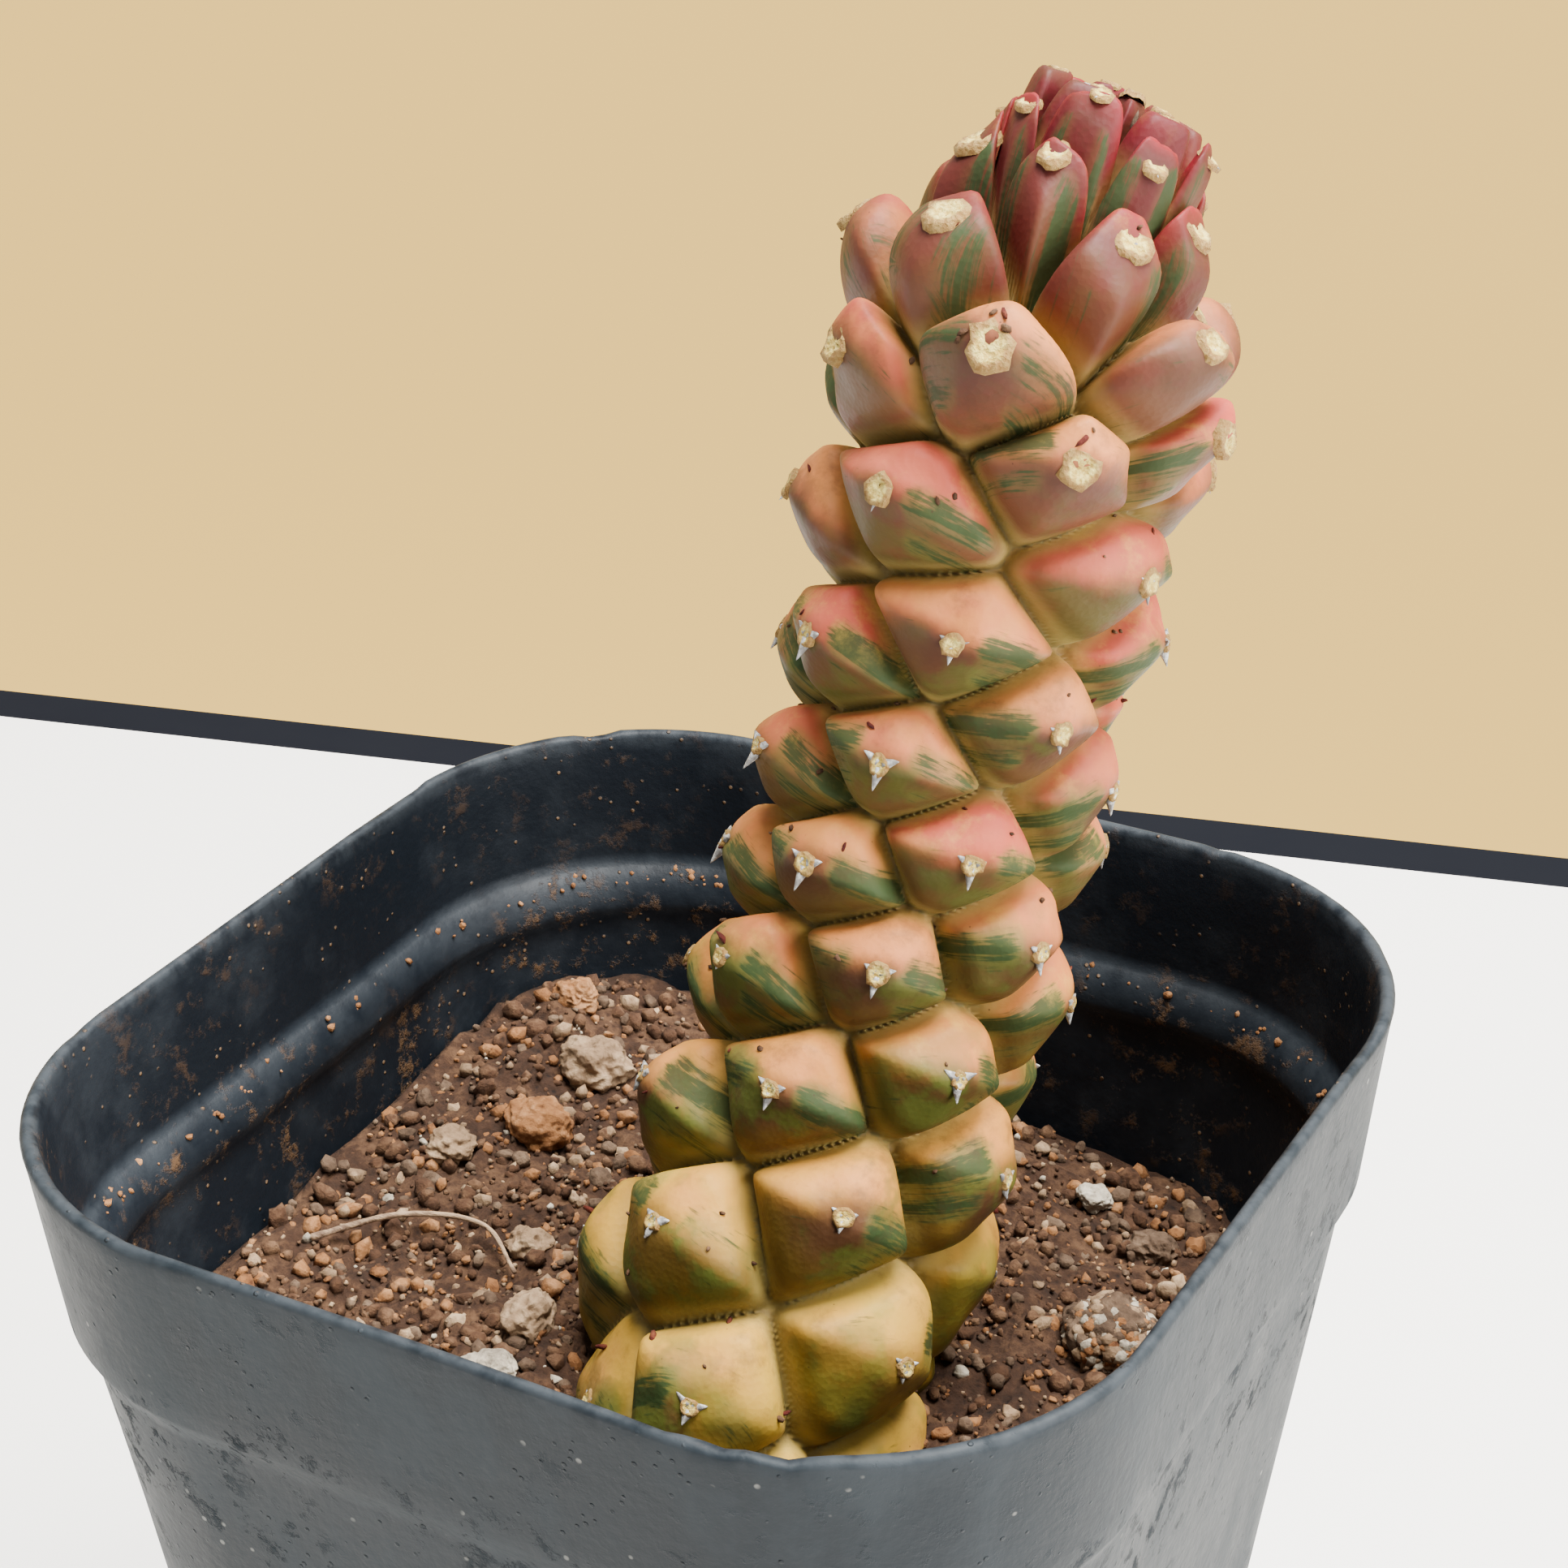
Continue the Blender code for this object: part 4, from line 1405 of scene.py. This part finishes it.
        # The inner ledge and its foot take the lighter edge colour as painted highlight.
        edge = np.maximum(edge, 0.55 * shelf * inner)
        edge = np.maximum(edge, 0.35 * foot * inner)
        set_attribute(pot, "inner", inner.astype(float))
        set_attribute(pot, "edge", edge)
        set_attribute(pot, "depth", depth)


# --- Soil and what lies on it ----------------------------------------------------------


@dataclass
class Soil:
    """Settled peat and grit: a lumpy surface, and loose crumbs of five kinds."""

    pot: Pot
    rim_z: float = 80 * MM
    depth: float = 19.8 * MM
    fall_x: float = 0.13
    fall_y: float = 0.07
    bank: float = 2.6 * MM
    bump: float = 0.8 * MM
    clearance: float = 0.3 * MM
    stem_clear: float = 8.5 * MM
    rings: int = 92
    seed: int = 31

    def level(self, x: float, y: float) -> float:
        """Height of the settled surface, without its crumbs.

        Args:
            x: Place across the pot.
            y: Place along the pot.

        Returns:
            The height in metres.
        """
        right = min(max(x + 6 * MM, 0), 32 * MM)
        back = max(y - 4 * MM, 0)
        fall = self.fall_x * right + self.fall_y * back * min(right / (12 * MM), 1)
        bank = self.bank * ramp(-x, 14 * MM, 28 * MM) * ramp(y, 4 * MM, 22 * MM)
        bump = self.bump * noise.noise(Vector((x, y, 0.004)) / (9 * MM))
        return self.rim_z - self.depth - fall + bank + bump

    def crumble(self, x: float, y: float) -> float:
        """Adds clods and crumbs to the settled surface.

        Args:
            x: Place across the pot.
            y: Place along the pot.

        Returns:
            The height in metres.
        """
        place = Vector((x, y, 0.013))
        clods = noise.noise(place * 340) * 0.9 * MM
        crumbs = abs(noise.noise(place * 900)) * 0.75 * MM
        grit = noise.noise(place * 2200) * 0.26 * MM
        return self.level(x, y) + clods + crumbs + grit

    def build(self, finish: bpy.types.Material) -> bpy.types.Object:
        """Builds the closed soil body.

        Args:
            finish: The soil material.

        Returns:
            The piece.
        """
        outline = self.pot.outline()
        half = self.pot.inner_half(self.depth) - self.clearance
        columns = len(outline)
        points: list = []
        floor_z = self.pot.floor + self.clearance
        low_half = self.pot.inner_half(self.rim_z - floor_z) - self.clearance
        points.extend((x * low_half, y * low_half, floor_z) for x, y in outline)
        for ring in range(self.rings, 0, -1):
            reach = ring / self.rings
            for x, y in outline:
                px, py = x * half * reach, y * half * reach
                points.append((px, py, self.crumble(px, py)))
        faces: list = grid_faces(self.rings + 1, columns)
        faces.append(tuple(range(columns))[::-1])
        points.append((0, 0, self.crumble(0, 0)))
        last = self.rings * columns
        for j in range(columns):
            faces.append((last + j, last + (j + 1) % columns, len(points) - 1))
        return mesh_object("soil_body", points, faces, finish)

    def scatter(
        self,
        name: str,
        count: int,
        sizes: tuple[float, float],
        finish: bpy.types.Material,
        stem: Stem,
        seed: int,
    ) -> bpy.types.Object:
        """Strews loose grains over the surface.

        Args:
            name: The piece's name.
            count: How many grains.
            sizes: Smallest and largest radius, in metres; small ones are commoner.
            finish: Their material.
            stem: The stem, which the grains keep clear of.
            seed: Seed of their places.

        Returns:
            One object of all the grains.
        """
        luck = np.random.default_rng(self.seed + seed)
        shapes = [lump(0, luck) for _ in range(5)] + [lump(1, luck) for _ in range(2)]
        axis = stem.frames(np.linspace(-0.05, 0.3, 12))[0]
        half = self.pot.inner_half(self.depth) - 0.8 * MM
        points: list = []
        faces: list = []
        total = 0
        first = 0
        while total < count:
            x, y = luck.uniform(-half, half, 2)
            if self.pot.half_at(np.array(((x, y, 0.0),)))[0] > half:
                continue
            z = self.level(x, y)
            near = axis[np.abs(axis[:, 2] - z).argmin()]
            if math.hypot(x - near[0], y - near[1]) < self.stem_clear:
                continue
            total += 1
            size = sizes[0] * (sizes[1] / sizes[0]) ** (luck.random() ** 2.2)
            base, base_faces = shapes[int(luck.integers(len(shapes)))]
            quarter = luck.uniform(0, 6.28)
            turn = np.array(Matrix.Rotation(quarter, 3, Vector(luck.standard_normal(3)).normalized()))
            grain = (base * luck.uniform(0.65, 1.2, 3) * size) @ turn.T
            place = (x, y, self.crumble(x, y) + size * luck.uniform(0.0, 0.45))
            faces.extend(tuple(first + i for i in face) for face in base_faces)
            points.append(grain + np.array(place))
            first += len(base)
        return mesh_object(name, np.vstack(points), faces, finish)


def lump(subdivisions: int, luck: np.random.Generator) -> tuple[np.ndarray, list]:
    """Shapes one angular grain of radius about 1.

    Args:
        subdivisions: Fineness of its mesh.
        luck: Random numbers.

    Returns:
        Its points and faces.
    """
    bpy.ops.mesh.primitive_ico_sphere_add(subdivisions=subdivisions + 1, radius=1.0)
    ball = bpy.context.view_layer.objects.active
    shift = Vector(luck.uniform(-50, 50, 3))
    points = []
    for vertex in ball.data.vertices:
        rough = 1 + 0.55 * noise.noise(vertex.co * 1.1 + shift) + 0.25 * noise.noise(vertex.co * 2.7 + shift)
        points.append(vertex.co * rough)
    faces = [tuple(face.vertices) for face in ball.data.polygons]
    bpy.data.objects.remove(ball, do_unlink=True)
    return np.array(points), faces


@dataclass
class Stones:
    """The larger stones and the grit clod, each shaped round the place of its solid."""

    fineness: int = 5
    seed: int = 3

    def build(
        self, node: str, finish: bpy.types.Material, number: int, pits: float = 1.0
    ) -> bpy.types.Object:
        """Builds one worn, pitted stone that fills its solid's box.

        Args:
            node: Name of the solid that it fills.
            finish: The stone material.
            number: Its number, which seeds its shape.
            pits: Depth of its pits, as a share of its size.

        Returns:
            The piece.
        """
        low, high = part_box(node)
        centre = (low + high) / 2
        half = (high - low) / 2
        bpy.ops.object.select_all(action="DESELECT")
        bpy.ops.mesh.primitive_ico_sphere_add(subdivisions=self.fineness, radius=1.0)
        stone = bpy.context.view_layer.objects.active
        stone.name = node + "_worn"
        stone.data.name = stone.name
        shift = Vector((self.seed + number * 7.3, number * 3.1, 2.0))
        for vertex in stone.data.vertices:
            way = vertex.co.copy()
            facets = noise.noise(way * 1.5 + shift) * 0.30 + abs(noise.noise(way * 2.6 + shift)) * -0.28
            rough = noise.noise(way * 7 + shift) * 0.05 + abs(noise.noise(way * 15 + shift)) * -0.06 * pits
            reach = 1.06 + facets + rough
            vertex.co = Vector((way.x * half.x, way.y * half.y, way.z * half.z)) * reach + centre
        stone.data.shade_smooth()
        stone.data.materials.append(finish)
        return stone

    def clod(self, node: str, finishes: Sequence[bpy.types.Material], number: int) -> bpy.types.Object:
        """Builds the grit clod: a rough core crusted with grains of several minerals.

        Args:
            node: Name of the solid that it fills.
            finishes: Materials of the core and of its grains.
            number: Its number, which seeds its shape.

        Returns:
            The piece.
        """
        core = self.build(node, finishes[0], number, 2.0)
        low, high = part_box(node)
        centre = (low + high) / 2
        half = (high - low) / 2
        luck = np.random.default_rng(self.seed + number)
        pieces = [core]
        for finish in finishes:
            points: list = []
            faces: list = []
            for grain in range(90):
                base, base_faces = lump(0 if grain % 3 else 1, luck)
                way = Vector(luck.standard_normal(3)).normalized()
                if way.z < -0.3:
                    way.z = -way.z
                place = centre + Vector((way.x * half.x, way.y * half.y, way.z * half.z)) * 0.88
                size = luck.uniform(0.22, 0.62) * MM
                first = sum(len(part) for part in points)
                points.append(base * size + np.array(place))
                faces.extend(tuple(first + i for i in face) for face in base_faces)
            pieces.append(mesh_object("clod_grains", np.vstack(points), faces, finish))
        return join("grit_clod_crusted", pieces)


@dataclass
class Debris:
    """Bits that have dropped on the plant and the pot's ledge."""

    stem: Stem
    pot: Pot
    seed: int = 77
    drop_reach: float = 18 * MM
    drop_slope: float = 0.45
    drop_length: float = 40 * MM

    def on_skin(
        self, surface: BVHTree, count: int, sizes: tuple[float, float], long: float
    ) -> tuple[list, list]:
        """Drops lumps on the stem's skin from above.

        Args:
            surface: The skin.
            count: How many lumps.
            sizes: Smallest and largest radius.
            long: How much longer than thick they are.

        Returns:
            Their points and faces.
        """
        luck = np.random.default_rng(self.seed + count)
        points: list = []
        faces: list = []
        made = 0
        while made < count:
            share = luck.uniform(-0.02, 0.92)
            angle = luck.uniform(0, 2 * math.pi)
            place, _, first, second = self.stem.frames(np.array((share,)))
            out = Vector(math.cos(angle) * first[0] + math.sin(angle) * second[0])
            start = Vector(place[0]) + out * self.drop_reach + Vector((0, 0, luck.uniform(0, 6) * MM))
            hit = surface.ray_cast(start, -out - Vector((0, 0, self.drop_slope)), self.drop_length)
            if hit[0] is None or hit[1].z < 0.05:
                continue
            base, base_faces = lump(0, luck)
            size = sizes[0] * (sizes[1] / sizes[0]) ** luck.random()
            turn = np.array(Matrix.Rotation(luck.uniform(0, 6.28), 3, hit[1]))
            bit = (base * np.array((long, 0.8, 0.6)) * size) @ turn.T
            first_number = sum(len(part) for part in points)
            faces.extend(tuple(first_number + i for i in face) for face in base_faces)
            points.append(bit + np.array(hit[0] + hit[1] * size * 0.25))
            made += 1
        return points, faces

    def build(
        self, surface: BVHTree, dark: bpy.types.Material, red: bpy.types.Material
    ) -> list[bpy.types.Object]:
        """Builds the dark crumbs and the red husks on the skin.

        Args:
            surface: The skin that the crumbs lie on.
            dark: The crumb material.
            red: The husk material.

        Returns:
            The crumbs and the husks.
        """
        crumbs, crumb_faces = self.on_skin(surface, 90, (0.10 * MM, 0.34 * MM), 1.3)
        husks, husk_faces = self.on_skin(surface, 34, (0.12 * MM, 0.30 * MM), 2.4)
        return [
            mesh_object("crumbs_on_stem", np.vstack(crumbs), crumb_faces, dark),
            mesh_object("husks_on_stem", np.vstack(husks), husk_faces, red),
        ]

    def on_crown(self, count: int, finish: bpy.types.Material) -> bpy.types.Object:
        """Sets dry brown flakes between the youngest fingers.

        Args:
            count: How many flakes.
            finish: The flake material.

        Returns:
            The piece.
        """
        luck = np.random.default_rng(self.seed + 5)
        points: list = []
        faces: list = []
        for number in range(count):
            share = luck.uniform(0.975, 1.0)
            angle = luck.uniform(0, 2 * math.pi)
            place, tangent, first, second = self.stem.frames(np.array((share,)))
            away = math.cos(angle) * first[0] + math.sin(angle) * second[0]
            way = Vector(tangent[0] + away * luck.uniform(-0.6, 0.9)).normalized()
            centre = Vector(place[0] + away * luck.uniform(0.3, 3.2) * MM - tangent[0] * 0.8 * MM)
            base, base_faces = lump(0, luck)
            turn = np.array(way.to_track_quat("X", "Z").to_matrix())
            size = luck.uniform(0.16, 0.34) * MM
            first_number = sum(len(part) for part in points)
            faces.extend(tuple(first_number + i for i in face) for face in base_faces)
            points.append((base * np.array((3.2, 0.9, 0.35)) * size) @ turn.T + np.array(centre))
        return mesh_object("dry_tuft", np.vstack(points), faces, finish)

    def on_ledge(self, count: int, finish: bpy.types.Material) -> bpy.types.Object:
        """Strews crumbs along the pot's inner ledge.

        Args:
            count: How many crumbs.
            finish: The crumb material.

        Returns:
            The piece.
        """
        luck = np.random.default_rng(self.seed)
        outline = self.pot.outline()
        shelf = self.pot.collar_half(self.pot.ledge_depth) - self.pot.wall
        points: list = []
        faces: list = []
        for number in range(count):
            in_from_wall = luck.uniform(0.30, 0.95)
            half = shelf - in_from_wall * self.pot.ledge_width
            x, y = outline[int(luck.integers(len(outline)))] * half
            x, y = x + luck.normal(0, 0.15 * MM), y + luck.normal(0, 0.15 * MM)
            drop = self.pot.ledge_depth + in_from_wall * self.pot.ledge_fall
            size = 0.10 * MM * (3.6 ** (luck.random() ** 1.8))
            base, base_faces = lump(0, luck)
            first = sum(len(part) for part in points)
            faces.extend(tuple(first + i for i in face) for face in base_faces)
            points.append(base * size + np.array((x, y, self.pot.height - drop + size * 0.4)))
        return mesh_object("crumbs_on_ledge", np.vstack(points), faces, finish)


@dataclass
class Twig:
    """A dry rootlet that arches over the soil."""

    soil: Soil
    radius: float = 0.24 * MM
    bed_gap: float = 0.46 * MM
    xs: tuple = (-27.0, -22.4, -17.0, -12.6)
    ys: tuple = (-7.6, -3.8, -2.6, -5.6)
    lifts: tuple = (0.5, 1.3, 1.2, 0.5)
    points: int = 60
    sides: int = 10

    def build(self, finish: bpy.types.Material) -> bpy.types.Object:
        """Builds the rootlet as a tapering, slightly knotty tube.

        Args:
            finish: The rootlet material.

        Returns:
            The piece.
        """
        share = np.linspace(0, 1, self.points)
        knots = np.linspace(0, 1, len(self.xs))
        xs = smooth_value(tuple(zip(knots, self.xs)), share) * MM
        ys = smooth_value(tuple(zip(knots, self.ys)), share) * MM
        lifts = smooth_value(tuple(zip(knots, self.lifts)), share) * MM
        zs = np.array([self.soil.level(float(x), float(y)) for x, y in zip(xs, ys)])
        line = np.column_stack((xs, ys, zs + self.bed_gap + lifts))
        way = np.gradient(line, axis=0)
        way = way / np.linalg.norm(way, axis=1, keepdims=True)
        side = np.cross(way, (0, 0, 1.0))
        side = side / np.linalg.norm(side, axis=1, keepdims=True)
        over = np.cross(side, way)
        points: list = []
        for i in range(self.points):
            thick = self.radius * (1 - 0.45 * share[i]) * (1 + 0.16 * noise.noise(Vector((i * 0.37, 0, 0))))
            for k in range(self.sides):
                angle = k * 2 * math.pi / self.sides
                points.append(line[i] + thick * (math.cos(angle) * side[i] + math.sin(angle) * over[i]))
        faces: list = grid_faces(self.points, self.sides)
        faces.append(tuple(range(self.sides)))
        faces.append(tuple(range(len(points) - self.sides, len(points)))[::-1])
        twig = mesh_object("dry_rootlet", points, faces, finish)
        only(twig)
        bpy.ops.object.mode_set(mode="EDIT")
        bpy.ops.mesh.select_all(action="SELECT")
        bpy.ops.mesh.normals_make_consistent(inside=False)
        bpy.ops.object.mode_set(mode="OBJECT")
        return twig


# --- Stage ---------------------------------------------------------------------------


@dataclass
class Stage:
    """Plain table, pale backdrop light, soft studio lamps and the camera."""

    rim_z: float = 80 * MM
    azimuth: float = 29.386
    elevation: float = 27.436
    roll: float = -0.861
    distance: float = 200.3 * MM
    shift_right: float = 3.64 * MM
    shift_up: float = 14.6 * MM
    lens: float = 76.7
    edge_turn: float = 14.4
    table_width: float = 2.4
    table_far: float = 0.176
    table_near: float = -1.4
    table_level: float = -0.05 * MM

    def table(self, finish: bpy.types.Material) -> None:
        """Lays the table: its far edge runs behind the pot.

        Args:
            finish: The table material.
        """
        bpy.ops.object.select_all(action="DESELECT")
        bpy.ops.mesh.primitive_plane_add(size=1.0)
        top = bpy.context.view_layer.objects.active
        top.name = "table_top"
        turn = Matrix.Rotation(math.radians(self.edge_turn), 4, "Z")
        for vertex in top.data.vertices:
            y = self.table_far if vertex.co.y > 0 else self.table_near
            vertex.co = turn @ Vector((vertex.co.x * self.table_width, y, self.table_level))
        top.data.materials.append(finish)

    def lamp(
        self,
        name: str,
        place: Sequence[float],
        target: Sequence[float],
        size: float,
        power: float,
        colour: Colour,
    ) -> None:
        """Hangs one soft square lamp, in watts, aimed at a target.

        Args:
            name: The lamp's name.
            place: Where it hangs.
            target: The point that it faces.
            size: Its side in metres.
            power: Its power in watts.
            colour: Its colour.
        """
        light = bpy.data.lights.new(name, "AREA")
        light.size = size
        light.energy = power
        light.color = colour
        lamp = bpy.data.objects.new(name, light)
        lamp.location = place
        lamp.rotation_euler = (Vector(target) - Vector(place)).to_track_quat("-Z", "Y").to_euler()
        bpy.context.scene.collection.objects.link(lamp)

    def backdrop(self, wall: bpy.types.Material, edge_strip: bpy.types.Material) -> None:
        """Stands the plain wall beyond the table, and lays a dark strip along the table's far edge.

        Args:
            wall: The wall material.
            edge_strip: The dark strip's material.
        """
        turn = Matrix.Rotation(math.radians(self.edge_turn), 4, "Z")
        far = self.table_far
        for name, finish, low, high in (
            ("wall", wall, (-1.6, 0.62, -1.1), (1.6, 0.64, 0.25)),
            ("far_edge_strip", edge_strip, (-1.2, far, -0.014), (1.2, far + 0.008, -0.0006)),
        ):
            bpy.ops.object.select_all(action="DESELECT")
            bpy.ops.mesh.primitive_cube_add(size=1.0)
            box = bpy.context.view_layer.objects.active
            box.name = name
            low_point, high_point = Vector(low), Vector(high)
            for vertex in box.data.vertices:
                share = vertex.co + Vector((0.5, 0.5, 0.5))
                span = high_point - low_point
                place = Vector((share.x * span.x, share.y * span.y, share.z * span.z))
                vertex.co = turn @ (low_point + place)
            box.data.materials.append(finish)

    def light(self) -> None:
        """Sets the pale room and the lamps."""
        world = bpy.data.worlds.new("pale_room")
        world.use_nodes = True
        world.node_tree.nodes["Background"].inputs["Color"].default_value = (0.97, 0.99, 1.0, 1)
        world.node_tree.nodes["Background"].inputs["Strength"].default_value = 0.62
        bpy.context.scene.world = world
        aim = (0.005, 0.0, 0.09)
        self.lamp("window_above", (0.14, 0.10, 0.80), aim, 0.50, 36.0, (1.0, 0.985, 0.95))
        self.lamp("window_right", (0.55, -0.02, 0.34), aim, 0.40, 9.0, (1.0, 0.98, 0.95))

    def camera(self) -> None:
        """Stands the camera."""
        a, e = math.radians(self.azimuth), math.radians(self.elevation)
        back = Vector((math.sin(a) * math.cos(e), -math.cos(a) * math.cos(e), math.sin(e)))
        right = Vector((math.cos(a), math.sin(a), 0))
        up = back.cross(right)
        place = back * self.distance + right * self.shift_right + up * self.shift_up
        place = place + Vector((0, 0, self.rim_z))
        tilt = Matrix.Rotation(math.radians(self.roll), 3, back)
        right, up = tilt @ right, tilt @ up
        turn = Matrix((right, up, back)).transposed().to_4x4()
        view = bpy.data.cameras.new("view")
        view.lens = self.lens
        view.sensor_width = 36
        view.clip_start = 0.005
        camera = bpy.data.objects.new("view", view)
        camera.matrix_world = Matrix.Translation(place) @ turn
        bpy.context.scene.collection.objects.link(camera)
        bpy.context.scene.camera = camera


# --- Putting it together ---------------------------------------------------------------


STONE_FINISHES = {
    Slot.PALE_STONE: Mineral(
        "pale_stone_rough", (0.09, 0.055, 0.03), (0.22, 0.14, 0.08), (0.42, 0.30, 0.18)
    ),
    Slot.RUSTY_STONE: Mineral(
        "rusty_stone_rough", (0.07, 0.025, 0.010), (0.20, 0.085, 0.03), (0.36, 0.19, 0.09)
    ),
    Slot.WHITE_STONE: Mineral(
        "white_stone_porous", (0.10, 0.08, 0.06), (0.34, 0.29, 0.22), (0.60, 0.54, 0.44)
    ),
    Slot.DARK_STONE: Mineral(
        "dark_stone_dull", (0.03, 0.018, 0.011), (0.085, 0.052, 0.032), (0.18, 0.12, 0.075)
    ),
}
HUSK = Mineral("red_husk", (0.020, 0.004, 0.004), (0.075, 0.012, 0.008), (0.16, 0.05, 0.02))
# The soil body between the loose crumbs: the same peat made darker, as painted shade between them.
SHADED_PEAT = Mineral(
    "peat_between_shaded", (0.008, 0.004, 0.0025), (0.032, 0.015, 0.008), (0.10, 0.052, 0.026), 900.0, 0.0006, 0.9
)
PEAT = Mineral(
    "peat_crumb", (0.014, 0.007, 0.004), (0.060, 0.028, 0.014), (0.17, 0.095, 0.05), 700.0, 0.0006, 0.9
)


def main() -> None:
    """Builds every sub-assembly in order."""
    logging.basicConfig(level=logging.INFO, format="%(message)s")
    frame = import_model()
    stage = Stage()
    stage.camera()
    stage.light()
    stage.table(TableTop().build())
    stage.backdrop(Backdrop().build(), FarEdgeStrip().build())

    pot = Pot()
    dress(pot.build(PotPlastic().build()), Slot.POT, "pot")

    stem = Stem()
    skin = stem.build(StemFlesh().build())
    surface = BVHTree.FromObject(skin, bpy.context.evaluated_depsgraph_get())
    tips = stem.tips(surface)
    dress(skin, Slot.FLESH, "stem")
    dress(LeafScars().build(tips, ScarCork().build()), Slot.FLESH)
    dress(Spines().build(tips, SpineHorn().build()), Slot.FLESH)

    minerals = {slot: finish.build() for slot, finish in STONE_FINISHES.items()}
    peat = PEAT.build()
    debris = Debris(stem, pot)
    for piece in debris.build(surface, peat, HUSK.build()):
        dress(piece, Slot.FLESH)
    dress(debris.on_crown(30, minerals[Slot.DARK_STONE]), Slot.FLESH)
    dress(debris.on_ledge(420, minerals[Slot.RUSTY_STONE]), Slot.POT)
    soil = Soil(pot)
    dress(soil.build(SHADED_PEAT.build()), Slot.SOIL, "soil")
    loads = (
        ("peat_crumbs", 3000, (0.16 * MM, 0.80 * MM), peat, Slot.SOIL),
        ("tan_grit", 1000, (0.14 * MM, 0.80 * MM), minerals[Slot.PALE_STONE], Slot.PALE_STONE),
        ("rusty_grit", 1500, (0.14 * MM, 0.75 * MM), minerals[Slot.RUSTY_STONE], Slot.RUSTY_STONE),
        ("white_grit", 150, (0.12 * MM, 0.50 * MM), minerals[Slot.WHITE_STONE], Slot.WHITE_STONE),
        ("dark_grit", 1200, (0.16 * MM, 0.75 * MM), minerals[Slot.DARK_STONE], Slot.DARK_STONE),
    )
    for number, (name, count, sizes, finish, slot) in enumerate(loads):
        dress(soil.scatter(name, count, sizes, finish, stem, number), slot)

    stones = Stones()
    slots = {part["node"]: part["material_slot"] for part in frame["record"]["subparts"]}
    for number, node in enumerate(sorted(frame["nodes"])):
        if node.startswith("stone_"):
            slot = Slot(slots[node])
            dress(stones.build(node, minerals[slot], number), slot, node)
    crust_slots = (Slot.DARK_STONE, Slot.PALE_STONE, Slot.WHITE_STONE, Slot.RUSTY_STONE)
    crust = tuple(minerals[slot] for slot in crust_slots)
    dress(stones.clod("grit_clod", crust, 40), Slot.SOIL, "grit_clod")
    dress(Twig(soil).build(DryRoot().build()), Slot.ROOT, "twig")


if __name__ == "__main__":
    main()
